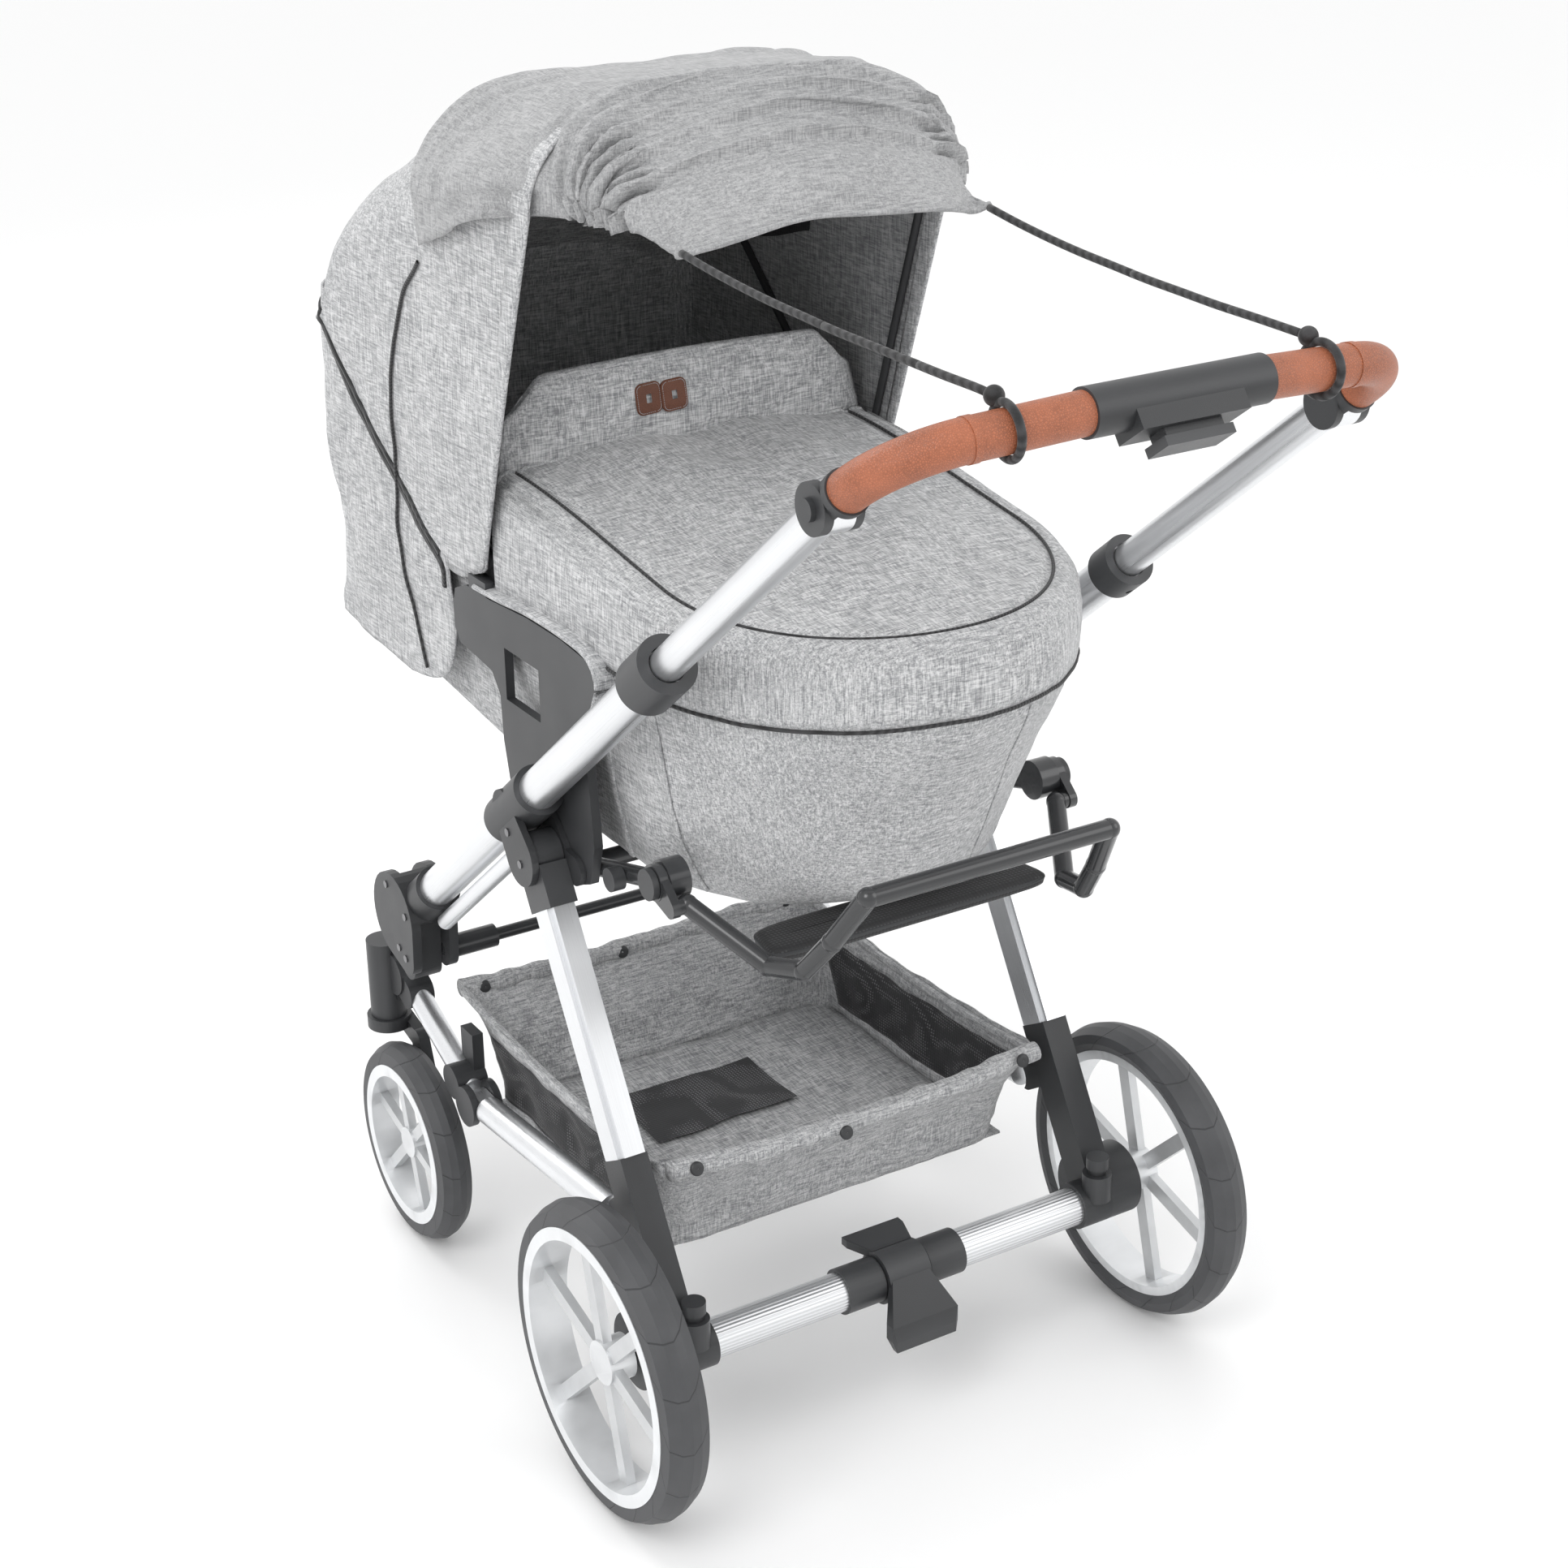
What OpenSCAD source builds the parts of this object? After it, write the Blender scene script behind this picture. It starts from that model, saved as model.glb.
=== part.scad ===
/* [Overall] */
// Width over the outer faces of the rear rims
track_w = 580; // [560:1:700]
// Distance from the rear axle to the front wheel axles
wheelbase = 460; // [440:1:560]
// Distance between the centres of the left and right frame tubes
frame_w = 426; // [420:2:440]
// Slope of the main tubes above the floor, in degrees
tube_slope = 39.2; // [36:0.1:42]
// Height of the front fold hinge above the floor
hinge_h = 333; // [320:1:360]

/* [Wheels] */
// Diameter of the rear tyres
rear_d = 272; // [250:1:290]
// Diameter of the front tyres
front_d = 194; // [180:1:210]
// Width of the rear tyres
rear_tyre_w = 39; // [34:1:39]
// Width of the front tyres
front_tyre_w = 32; // [28:1:32]
// Height of the tyre section outside the rim
tyre_h = 19; // [14:1:24]
// Radius of the wheel axle pins
pin_r = 5; // [4:0.5:6]

/* [Tubes] */
// Outer diameter of the main tubes
main_d = 34; // [32:0.5:36]
// Outer diameter of the sliding push tubes
push_d = 27; // [24:0.5:29]
// Length of push tube that shows above the clamps
push_out = 295; // [200:1:320]
// Length of push tube that stays inside the main tube
push_in = 170; // [160:1:200]
// Outer diameter of the lower side tubes
lower_d = 26; // [20:1:28]
// Diameter of the front strut tubes
strut_d = 22; // [18:1:26]
// Diameter of the thin coupling tubes
link_d = 15; // [12:1:18]
// Diameter of the axle tube
axle_d = 34; // [30:1:38]
// Wall of all hollow tubes
tube_wall = 1.6; // [1.2:0.1:2.4]

/* [Carrycot] */
// Half width of the carrycot at its rim
cot_half = 180; // [160:1:182]
// Height of the carrycot rim above the floor
cot_rim = 735; // [715:1:760]
// Height of the carrycot floor above the ground
cot_floor = 494; // [490:1:510]
// Wall of the padded carrycot
cot_wall = 10; // [6:1:14]
// How far the carrycot's foot stands behind the rear axle, at its widest
cot_foot = 118; // [100:1:124]
// Half width of the hood
hood_half = 195; // [190:1:200]
// Height of the top of the hood
hood_top = 1088; // [1060:1:1110]
// Wall of the hood shell
hood_wall = 3; // [2:0.5:5]

/* [Basket] */
// Half width of the basket rim
basket_half = 192; // [170:1:194]
// Height of the basket rim
basket_rim = 268; // [250:1:280]
// Height of the basket floor
basket_floor = 158; // [150:1:180]
// Wall of the basket
basket_wall = 4; // [3:0.5:6]

/* [Handle] */
// Diameter of the grip
grip_d = 30; // [26:1:33]
// Half length of the centre handle unit
unit_half = 73; // [60:1:80]
// Rise of the handlebar plane above level, in degrees
bar_tilt = 36; // [30:1:42]
// Diameter of the sun sail cords
cord_d = 6; // [4:0.5:6]

/* [Fits] */
// Radial clearance of everything that turns or slides
run_gap = 0.05; // [0.02:0.01:0.1]
// Gap between parts that only lie next to each other
air_gap = 0.3; // [0.2:0.1:0.5]

/* [Hidden] */
$fn = 64;

// Places along the stroller are measured from the rear axle, which stands here
axle_y = 154.7;
function at(x, y, z) = [x, axle_y + y, z];

// Frame tube plane and the direction of the main tube, seen from the side
fx = frame_w / 2;
tube_dir = [0, cos(tube_slope), sin(tube_slope)];
tube_up = [0, -sin(tube_slope), cos(tube_slope)];
hinge = at(0, -wheelbase - 7, hinge_h);
function along(t, off = 0, x = fx) = hinge + [x, 0, 0] + t * tube_dir + off * tube_up;
main_len = 628;
bar_pivot = along(main_len + push_out, 0, 0);
push_id = push_d + 2 * run_gap;

// Rear leg hinge under the main tube, and the leg direction
leg_drop = 43.2;
leg_t = 309.3;
leg_hinge = along(leg_t, -leg_drop, 0);
rear_r = rear_d / 2;
front_r = front_d / 2;
wheel_c = at(0, 0, rear_r);
axle_c = at(0, 13.5, rear_r - 4.7);
leg_vec = axle_c - leg_hinge;
leg_dir = leg_vec / norm(leg_vec);
leg_across = [0, -leg_dir.z, leg_dir.y];
leg_len = norm(leg_vec);
leg_head = 46;
leg_silver = 258;
function on_leg(t, off = 0, x = fx) = leg_hinge + [x, 0, 0] + t * leg_dir + off * leg_across;
leg_t_x = 25;
leg_fore = 40;

// Hinge housing and the front chassis
hinge_cheek_r = 42;
rod_c = hinge + [0, 24, -34];
knee = at(0, -wheelbase - 40, 255);
elbow = at(0, 108 - wheelbase, 185);
lower_end = at(0, -92, 207);
swivel = at(fx + 12, -wheelbase - 60, 0);
front_hub = at(0, -wheelbase, front_r);
arm_t = 27;
cheek = 9;
front_x = 248;
rear_x = track_w / 2;

// Seat frame plates stand just inside the main tubes
plate_out = fx - main_d / 2 - 1;
plate_t = 8;
plate_in = plate_out - plate_t;
seat_pivot = at(0, -165, 490);
rest_pivot = at(0, -40, 528);
hood_pivot = at(0, -330, 708);

// Handlebar path, measured outwards from its pivot in the plane of the bar
bar_dir = [0, cos(bar_tilt), sin(bar_tilt)];
bar_up = [0, -sin(bar_tilt), cos(bar_tilt)];
function on_bar(x, s, up = 0) = bar_pivot + [x, 0, 0] + s * bar_dir + up * bar_up;
bend_r = 62;
bend_a = 84;
bend_s = 25;
bend_x = fx - bend_r;
bend_end_x = bend_x + bend_r * cos(bend_a);
bend_end_s = bend_s + bend_r * sin(bend_a);
function bar_s(x) = bend_end_s + (bend_end_x - x) / tan(bend_a);
knot_x = 129;
knot_up = grip_d / 2 + cord_d + 2;

// Hood outline circles, seen from the side, before the wall is taken off
hood_r = 40;
hood_base = cot_rim - 15;
cot_head = 662;
hood_back = cot_head + hood_wall + air_gap - hood_r;
hood_centres = [[-290, hood_base - 20], [-190, hood_top - hood_r], [-240, hood_top - hood_r],
    [-340, hood_top - hood_r - 13],
    [-461, hood_top - hood_r - 58], [-550, hood_top - hood_r - 110], [-599, hood_top - hood_r - 173],
    [-hood_back, hood_top - 300], [-hood_back, hood_base - 20]];
hood_corner = 75;

// Sail cords: from the sail tip to the knot on the grip
cord_left = [at(137, -69.7, 1008), at(136, -30, 1003), at(135, 10, 999), at(134, 50, 996),
    at(133, 90, 994), at(132, 130, 992), at(131, 170, 991), at(130, 210, 990),
    at(130, 250, 989.5), at(129, 285, 989.2), at(129, 299.2, 988.8)];
cord_right = [for (p = cord_left) [-p.x, p.y, p.z]];

black = [0.13, 0.13, 0.14];
silver = [0.8, 0.81, 0.82];
cloth = [0.66, 0.67, 0.68];
tan_leather = [0.62, 0.33, 0.2];

// Sizes of the single groups, in the order of their modules below
bracket_r = main_d / 2 + 5;
leg_lobe_r = 24;
bracket_cheek = 6;
lobe_in = fx - leg_t_x / 2 - air_gap;
lobe_out = fx + leg_t_x / 2 + air_gap;
hinge_in = fx - arm_t / 2 - air_gap;
hinge_out = fx + arm_t / 2 + air_gap;
rod_r = 6;
link_off = 30;
link_b = 284;
collar_r = main_d / 2 + 7;
ring_r = main_d / 2 + 5;
ring_hole_r = 3;
plate_outline = [[-379, 658], [-374, 672], [-352, 681], [-308, 681], [-239, 686], [-180, 686],
    [-126, 681], [-120, 664], [-132, 640], [-146, 616], [-140, 560], [-136, 520], [-146, 484],
    [-165, 476], [-200, 476], [-250, 496], [-285, 522], [-294, 560], [-296, 600], [-310, 617],
    [-340, 621], [-370, 624], [-379, 636]];
seat_tube_r = 8;
rest_pin_r = 4;
seat_x = plate_in - seat_tube_r - air_gap;
seat_z = cot_floor - air_gap - seat_tube_r;
cot_belly = 675;
cot_bend = 76;
base_in = 32;
bend_in = 18;
rim_back = 7;
rim_in = 0.7;
pad_inset = cot_wall + 2 * air_gap;
pad_half_w = cot_half - bend_in - pad_inset;
flap_y = -311;
apron_rise = 47;
flap_foot = cot_rim + air_gap + apron_rise;
bow_r = 3.5;
bow_x = hood_half - hood_wall - bow_r - 0.5;
mount_in = cot_half + 2 * air_gap;
mount_t = 2.4;
eye_rear = mount_in + mount_t + air_gap;
eye_rear_t = 2.7;
eye_front = eye_rear + eye_rear_t + air_gap;
eye_front_t = 4.7;
eye_pin_r = 4;
bow_corner = 70;
bow_front_a = 71;
bow_rear_a = 137;
bow_front_s = 394;
bow_rear_s = 342;
front_arm = 21;
rear_arm = 28;
hem = 3;
sail_t = 9;
sail_profile = [[-404, hood_top + air_gap], [-188, hood_top + air_gap], [-140, 1056], [-76, 1003],
    [-70, 1009], [-112, 1080], [-168, 1104], [-240, hood_top + 18], [-404, hood_top + 12]];
sail_side = [[-404, 962], [-376, 962], [-274, 1008], [-214, 1036], [-190, 1110], [-404, 1110]];
rest_r = 8;
pad_t = 12;
rest_pts = [rest_pivot + [plate_in - 9, 24, -13], at(142, 45, 478), at(133, 82, 487),
    at(124, 108, 520), at(112, 138, 566)];
pad_corner = rest_pts[1].x - rest_r + 1.2 - 2 * air_gap;
hub_r = 33;
hub_in = 206;
hub_out = rear_x - rear_tyre_w - 2;
knob_seat = 166;
rear_inner = 187;
knob_x = 205;
knob_y = 24;
knob_head = 10;
centre_half = 59;
pedal_half = 21;
centre_r = axle_d / 2;
rear_hub = 19;
front_hub_r = 15;
arm_foot = hinge + [0, 6, -50];
swivel_top = 284;
swivel_foot = 206;
swivel_r = 17;
stem_r = 6;
fork_in = 204;
fork_out = front_x - front_tyre_w - 1.5;
hub_t = 17;
seam = 0.6;
bar_eye_r = 18;
elbow_in = fx - hub_t / 2 - air_gap;
elbow_out = fx + hub_t / 2 + air_gap;
unit_s = bar_s(unit_half);
screw_r = 3.5;

// ---- helpers ----

// Round bar between two points
module rod(a, b, r) {
    v = b - a;
    l = norm(v);
    translate(a)
        rotate([0, acos(v.z / l), atan2(v.y, v.x)])
            cylinder(h = l, r = r);
}

// Hollow tube between two points
module pipe(a, b, r, wall) {
    difference() {
        rod(a, b, r);
        rod(a - (b - a) / norm(b - a), b + (b - a) / norm(b - a), r - wall);
    }
}

// Disc with its axis along X, from x0 to x1, centred at point c
module disc(c, r, x0, x1) {
    translate([x0, c.y, c.z])
        rotate([0, 90, 0])
            cylinder(h = x1 - x0, r = r);
}

// Slab with a side view outline, from x0 to x1
module slab(x0, x1) {
    translate([x0, 0, 0])
        rotate([90, 0, 90])
            linear_extrude(x1 - x0)
                children();
}

// Left and right copies
module pair() {
    children();
    mirror([1, 0, 0])
        children();
}

// Straight strip between two side view points, with round ends
module strip(a, b, ra, rb) {
    hull() {
        translate([a.y, a.z])
            circle(r = ra, $fn = 32);
        translate([b.y, b.z])
            circle(r = rb, $fn = 32);
    }
}

// Block along the leg from t0 to t1
module leg_block(t0, t1, fore, thick, x = fx) {
    a = atan2(leg_dir.z, leg_dir.y);
    translate([x - thick / 2, leg_hinge.y, leg_hinge.z])
        rotate([a, 0, 0])
            translate([0, t0, -fore / 2])
                cube([thick, t1 - t0, fore]);
}

// ---- main frame ----

module main_tube(side) {
    color(silver)
        scale_side(side)
            difference() {
                rod(along(46), along(main_len), main_d / 2);
                rod(along(main_len - push_in - 180), along(main_len + 1), push_id / 2);
                rod(along(45), along(main_len - push_in - 180.1), push_d / 2);
            }
}

module scale_side(side) {
    if (side > 0)
        children();
    else
        mirror([1, 0, 0])
            children();
}

module main_tube_left() { main_tube(1); }
module main_tube_right() { main_tube(-1); }

module frame_brackets() {
    color(black)
        pair()
            difference() {
                union() {
                    rod(along(leg_t - 36), along(leg_t + 42), bracket_r);
                    slab(lobe_out, lobe_out + bracket_cheek)
                        strip(along(leg_t), leg_hinge, bracket_r - 4, leg_lobe_r);
                    slab(plate_out + air_gap, lobe_in)
                        strip(along(leg_t), leg_hinge, bracket_r - 4, leg_lobe_r);
                    rod(leg_hinge + [lobe_in - 1, 0, 0], leg_hinge + [lobe_out + 1, 0, 0], 8);
                    slab(plate_out + air_gap, lobe_in)
                        strip(leg_hinge, seat_pivot, 12, 13);
                }
                rod(along(leg_t - 37), along(leg_t + 43), main_d / 2 + run_gap);
                translate([0, hinge.y, 400])
                    cube([plate_out + air_gap, 500, 300]);
            }
}

module hinge_cheek(x0, x1) {
    slab(x0, x1)
        strip(hinge, rod_c, hinge_cheek_r, 16);
}

module hinge_housings() {
    color(black)
        pair()
            difference() {
                union() {
                    hinge_cheek(hinge_out, hinge_out + cheek);
                    hinge_cheek(hinge_in - cheek, hinge_in);
                    intersection() {
                        hinge_cheek(hinge_in - cheek, hinge_out + cheek);
                        translate([fx - 25, hinge.y, hinge.z])
                            rotate([tube_slope, 0, 0])
                                translate([0, 28, -21])
                                    cube([50, 60, 60]);
                    }
                    rod(along(29), along(72), main_d / 2 + 4);
                    disc(hinge, 7, hinge_in - 1, hinge_out + 1);
                }
                rod(along(45.9), along(73), main_d / 2 + run_gap);
                rod(along(29, -link_off), along(90, -link_off), link_d / 2 + 1);
                disc(rod_c, rod_r + run_gap, hinge_in - cheek - 1, hinge_in + 0.01);
            }
}

module cross_rod() {
    color(black) {
        rod(rod_c - [hinge_in - 0.5, 0, 0], rod_c + [hinge_in - 0.5, 0, 0], rod_r);
        pair()
            rod(rod_c + [hinge_in - cheek - 44, 0, 0], rod_c + [hinge_in - cheek - air_gap, 0, 0], 11);
    }
}

module twist_collar() {
    color(black)
        difference() {
            rod(along(main_len - 34), along(main_len + 10), collar_r);
            rod(along(main_len - 35), along(main_len + air_gap), main_d / 2 + run_gap);
            rod(along(main_len), along(main_len + 11), push_d / 2 + 1);
        }
}

module end_ring() {
    color(black)
        mirror([1, 0, 0])
            difference() {
                rod(along(main_len - 22), along(main_len + 6), ring_r);
                rod(along(main_len - 23), along(main_len + air_gap), main_d / 2 + run_gap);
                rod(along(main_len), along(main_len + 7), push_d / 2 + 1);
                rod(along(main_len - 10, -main_d / 2 - 0.8), along(main_len - 10, -ring_r - 2), ring_hole_r);
            }
}

// ---- seat frame ----

module seat_plate() {
    color(black)
        difference() {
            slab(plate_in, plate_out)
                translate([axle_y, 0])
                    polygon(plate_outline);
            translate([plate_in - 1, axle_y - 284, 600])
                cube([plate_t + 2, 62, 46]);
            disc(seat_pivot, 5 + run_gap, plate_in - 1, plate_out + 1);
        }
}

module seat_plate_left() { seat_plate(); }
module seat_plate_right() {
    mirror([1, 0, 0])
        seat_plate();
}

module seat_tubes() {
    color(black) {
        rod(at(air_gap - plate_in, -180, seat_z), at(plate_in - air_gap, -180, seat_z), seat_tube_r);
        pair() {
            rod(at(seat_x, -176, seat_z), rest_pivot + [seat_x, -8, -6], seat_tube_r);
            disc(rest_pivot, 17, plate_in - 18, plate_in);
            disc(rest_pivot, rest_pin_r, plate_in - 1, plate_in + 8 + air_gap);
        }
    }
}

module seat_knobs() {
    color(black)
        pair() {
            disc(at(0, -108, 504), 10, plate_in, plate_in + 11);
            disc(rest_pivot, 13, plate_in + 8 + 2 * air_gap, plate_in + 14);
        }
}

// ---- carrycot ----

// Outline of the carrycot, seen from above: straight sides, a round foot and a blunt head
module cot_outline(half, head_y, foot_y, head_r = 90) {
    hull() {
        translate([0, axle_y + foot_y - half])
            circle(r = half, $fn = 64);
        translate([half - head_r, axle_y + head_y + head_r])
            circle(r = head_r, $fn = 32);
        translate([head_r - half, axle_y + head_y + head_r])
            circle(r = head_r, $fn = 32);
    }
}

module cot_layer(z, half, head_y, foot_y, thick = 1) {
    translate([0, 0, z])
        linear_extrude(thick)
            cot_outline(half, head_y, foot_y);
}

module cot_shell() {
    color(cloth)
        difference() {
            hull() {
                cot_layer(cot_floor, cot_half - base_in, -340, cot_foot - 90);
                cot_layer(cot_floor + cot_bend, cot_half - bend_in, -652, cot_foot - 55);
                cot_layer(cot_belly, cot_half, -cot_head, cot_foot);
                cot_layer(cot_rim - 1, cot_half - rim_in, -cot_head + rim_in, cot_foot - rim_back);
            }
            hull() {
                cot_layer(cot_floor + cot_wall, cot_half - base_in - cot_wall, -340,
                    cot_foot - 90 - cot_wall);
                cot_layer(cot_floor + cot_bend + cot_wall, cot_half - bend_in - cot_wall, -652 + cot_wall,
                    cot_foot - 55 - cot_wall);
                cot_layer(cot_belly, cot_half - cot_wall, -cot_head + cot_wall, cot_foot - cot_wall);
                cot_layer(cot_rim + 1, cot_half - rim_in - cot_wall, -cot_head + rim_in + cot_wall,
                    cot_foot - rim_back - cot_wall);
            }
        }
}

module cot_mattress() {
    color("white")
        hull() {
            cot_layer(cot_floor + cot_bend + cot_wall + air_gap, pad_half_w, -652 + pad_inset,
                cot_foot - 55 - pad_inset, 14);
            cot_layer(cot_floor + cot_bend + cot_wall + 20, pad_half_w - 8, -652 + pad_inset + 8,
                cot_foot - 55 - pad_inset - 8, 4);
        }
}

// Foot half of the carrycot outline, in front of the flap
module apron_plan(half, foot_y) {
    intersection() {
        cot_outline(half, -cot_head, foot_y);
        translate([-300, axle_y + flap_y])
            square([600, 500]);
    }
}

module apron_form(half, foot_y, low, rise) {
    hull() {
        translate([0, 0, low])
            linear_extrude(rise)
                apron_plan(half, foot_y);
        translate([-half + 14, axle_y + flap_y, low + rise])
            cube([2 * half - 28, 20, apron_rise - rise]);
    }
}

module cot_apron() {
    color(cloth)
        difference() {
            apron_form(cot_half + 1, cot_foot - rim_back, cot_rim + air_gap, 16);
            apron_form(cot_half - 12, cot_foot - rim_back - 12, cot_rim - 6, 14);
        }
}

module apron_flap() {
    color(cloth)
        hull() {
            translate([-cot_half + 6, axle_y + flap_y - 1, flap_foot + air_gap])
                cube([2 * cot_half - 12, 16, 2]);
            translate([-cot_half + 14, axle_y + flap_y, flap_foot + 60])
                cube([2 * cot_half - 28, 12, 2]);
            translate([-cot_half + 50, axle_y + flap_y + 2, flap_foot + 84])
                cube([2 * cot_half - 100, 8, 2]);
        }
}

// ---- hood ----

// Hoop from both pivots over the top: straight legs, round corners and a straight top
module hoop(slope, reach, start) {
    translate(hood_pivot)
        rotate([slope - 90, 0, 0]) {
            pair() {
                translate([bow_x, 0, start])
                    cylinder(h = reach - start - bow_corner, r = bow_r);
                translate([bow_x - bow_corner, 0, reach - bow_corner])
                    rotate([90, 0, 0])
                        rotate_extrude(angle = 90)
                            translate([bow_corner, 0])
                                circle(r = bow_r, $fn = 24);
            }
            translate([bow_corner - bow_x, 0, reach])
                rotate([0, 90, 0])
                    cylinder(h = 2 * (bow_x - bow_corner), r = bow_r);
        }
}

// Eye on the pivot, its flat arm, and the block that takes the end of the rod
module bow_eye(x0, x1, slope, arm_end) {
    pair()
        difference() {
            union() {
                disc(hood_pivot, 9, x0, x1);
                translate([0, hood_pivot.y, hood_pivot.z])
                    rotate([slope - 90, 0, 0]) {
                        translate([x0 + 0.2, -3, 6])
                            cube([x1 - x0 - 0.4, 6, arm_end - 5]);
                        translate([min(x0, bow_x - bow_r) - 0.3, -4.5, arm_end])
                            cube([bow_x + bow_r + 0.4 - min(x0, bow_x - bow_r) + 0.3, 9, 5]);
                    }
            }
            disc(hood_pivot, eye_pin_r + run_gap, x0 - 1, x1 + 1);
        }
}

module front_bow() {
    color(black) {
        hoop(bow_front_a, bow_front_s, front_arm + 2);
        bow_eye(eye_front, eye_front + eye_front_t, bow_front_a, front_arm);
    }
}

module rear_bow() {
    color(black) {
        hoop(bow_rear_a, bow_rear_s, rear_arm + 2);
        bow_eye(eye_rear, eye_rear + eye_rear_t, bow_rear_a, rear_arm);
    }
}

module hood_mounts() {
    color(black)
        pair() {
            translate([plate_in, hood_pivot.y - 16, 681.1])
                cube([plate_t, 32, 12]);
            translate([mount_in, hood_pivot.y - 9, 689])
                cube([mount_t, 18, 28]);
            translate([mount_in, hood_pivot.y - 9, 689])
                cube([plate_out - mount_in, 18, 4]);
            disc(hood_pivot, eye_pin_r, mount_in + 1, eye_front + eye_front_t + 0.4);
        }
}

// Side view of the hood, moved forward by reach to open its front
module hood_side(r, reach) {
    hull()
        for (c = hood_centres, dy = [0, reach])
            translate([axle_y + c.x + dy, c.y])
                circle(r = r, $fn = 32);
}

module hood_arch(inset) {
    translate([0, axle_y + 200, 0])
        rotate([90, 0, 0])
            linear_extrude(1000)
                hull() {
                    for (s = [-1, 1])
                        translate([s * (hood_half - hood_corner), hood_top - hood_corner])
                            circle(r = hood_corner - inset, $fn = 48);
                    translate([inset - hood_half, 600])
                        square([2 * (hood_half - inset), 10]);
                }
}

module hood_form(inset, reach) {
    intersection() {
        slab(-300, 300)
            hood_side(hood_r - inset, reach);
        hood_arch(inset);
        translate([-300, axle_y - 800, hood_base - inset])
            cube([600, 1200, 600]);
    }
}

// The front edge of the hood runs along the front bow, hem ahead of it
module hood_fabric() {
    color(cloth)
        difference() {
            hood_form(0, 0);
            hood_form(hood_wall, 150);
            translate(hood_pivot)
                rotate([bow_front_a - 90, 0, 0])
                    translate([-300, bow_r + hem, -100])
                        cube([600, 300, 700]);
        }
}

module sun_sail() {
    color(cloth)
        union() {
            slab(-138, 138)
                translate([axle_y, 0])
                    polygon(sail_profile);
            intersection() {
                difference() {
                    hood_arch(-sail_t);
                    hood_arch(-air_gap);
                }
                slab(-300, 300)
                    translate([axle_y, 0])
                        polygon(sail_side);
            }
        }
}

// ---- leg rest ----

module leg_rest_frame() {
    color(black) {
        pair() {
            for (i = [0:len(rest_pts) - 2])
                rod(rest_pts[i], rest_pts[i + 1], rest_r);
            for (i = [0:len(rest_pts) - 1])
                translate(rest_pts[i])
                    sphere(r = rest_r + 0.5, $fn = 24);
            difference() {
                union() {
                    disc(rest_pivot, 15, plate_in + air_gap, plate_in + 8);
                    slab(plate_in + air_gap, plate_in + 7.5)
                        strip(rest_pivot, rest_pivot + [0, 24, -13], 14, 8);
                }
                disc(rest_pivot, rest_pin_r + run_gap, plate_in, plate_in + 9);
            }
            disc(rest_pivot + [0, 24, -13], 7, plate_in - 9, plate_in + 6);
        }
        rod(rest_pts[4], [-rest_pts[4].x, rest_pts[4].y, rest_pts[4].z], rest_r);
    }
}

module leg_rest_pad() {
    color(black)
        translate([0, 0, 471])
            linear_extrude(pad_t)
                polygon([[-126, axle_y - 12], [126, axle_y - 12], [pad_corner, axle_y + 40],
                    [-pad_corner, axle_y + 40]]);
}

// ---- rear chassis ----

module leg_heads() {
    color(black)
        pair()
            difference() {
                union() {
                    disc(leg_hinge, leg_drop - bracket_r - 2 * air_gap, fx - leg_t_x / 2 + air_gap,
                        fx + leg_t_x / 2 - air_gap);
                    leg_block(10, leg_head, leg_fore + 2, leg_t_x);
                }
                disc(leg_hinge, 8 + run_gap, fx - 20, fx + 20);
            }
}

module rear_leg() {
    color(silver)
        difference() {
            union() {
                leg_block(leg_head + 0.1, leg_silver, leg_fore, leg_t_x - 6);
                leg_block(leg_head + 0.1, leg_silver, leg_fore - 16, leg_t_x);
            }
            leg_block(leg_head - 1, leg_silver + 1, leg_fore - 20, leg_t_x - 10);
        }
}

module rear_leg_left() { rear_leg(); }
module rear_leg_right() {
    mirror([1, 0, 0])
        rear_leg();
}

module lower_legs() {
    color(black)
        pair()
            difference() {
                union() {
                    leg_block(leg_silver + 0.1, leg_len - 8, leg_fore - 6, leg_t_x);
                    disc(wheel_c, hub_r, hub_in, hub_out);
                    disc(axle_c, axle_d / 2 + 4, rear_inner, hub_in + 10);
                    rod(at(knob_x, knob_y, 140), at(knob_x, knob_y, knob_seat), 13);
                    disc(wheel_c, pin_r, hub_out - 5, rear_x - 17);
                    slab(fx - 5, fx + 5)
                        strip(on_leg(leg_silver + 40, 0, 0), lower_end + [0, 4, 0], 16, 12);
                }
                rod(at(knob_x, knob_y, knob_seat - 12), at(knob_x, knob_y, knob_seat + 1), 8 + run_gap);
                slab(fx - 20, fx + 20)
                    strip(lower_end + [0, -11, -4], lower_end + [0, -40, -4], 16, 16);
            }
}

module axle_tubes() {
    color(silver)
        pair()
            pipe(axle_c + [centre_half + 0.1, 0, 0], axle_c + [rear_inner - 0.1, 0, 0], axle_d / 2,
                tube_wall);
}

module axle_centre() {
    color(black) {
        rod(axle_c - [centre_half, 0, 0], axle_c + [centre_half, 0, 0], centre_r);
        pair()
            rod(axle_c + [pedal_half + 2, 0, 0], axle_c + [centre_half, 0, 0], centre_r + 3);
    }
}

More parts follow.
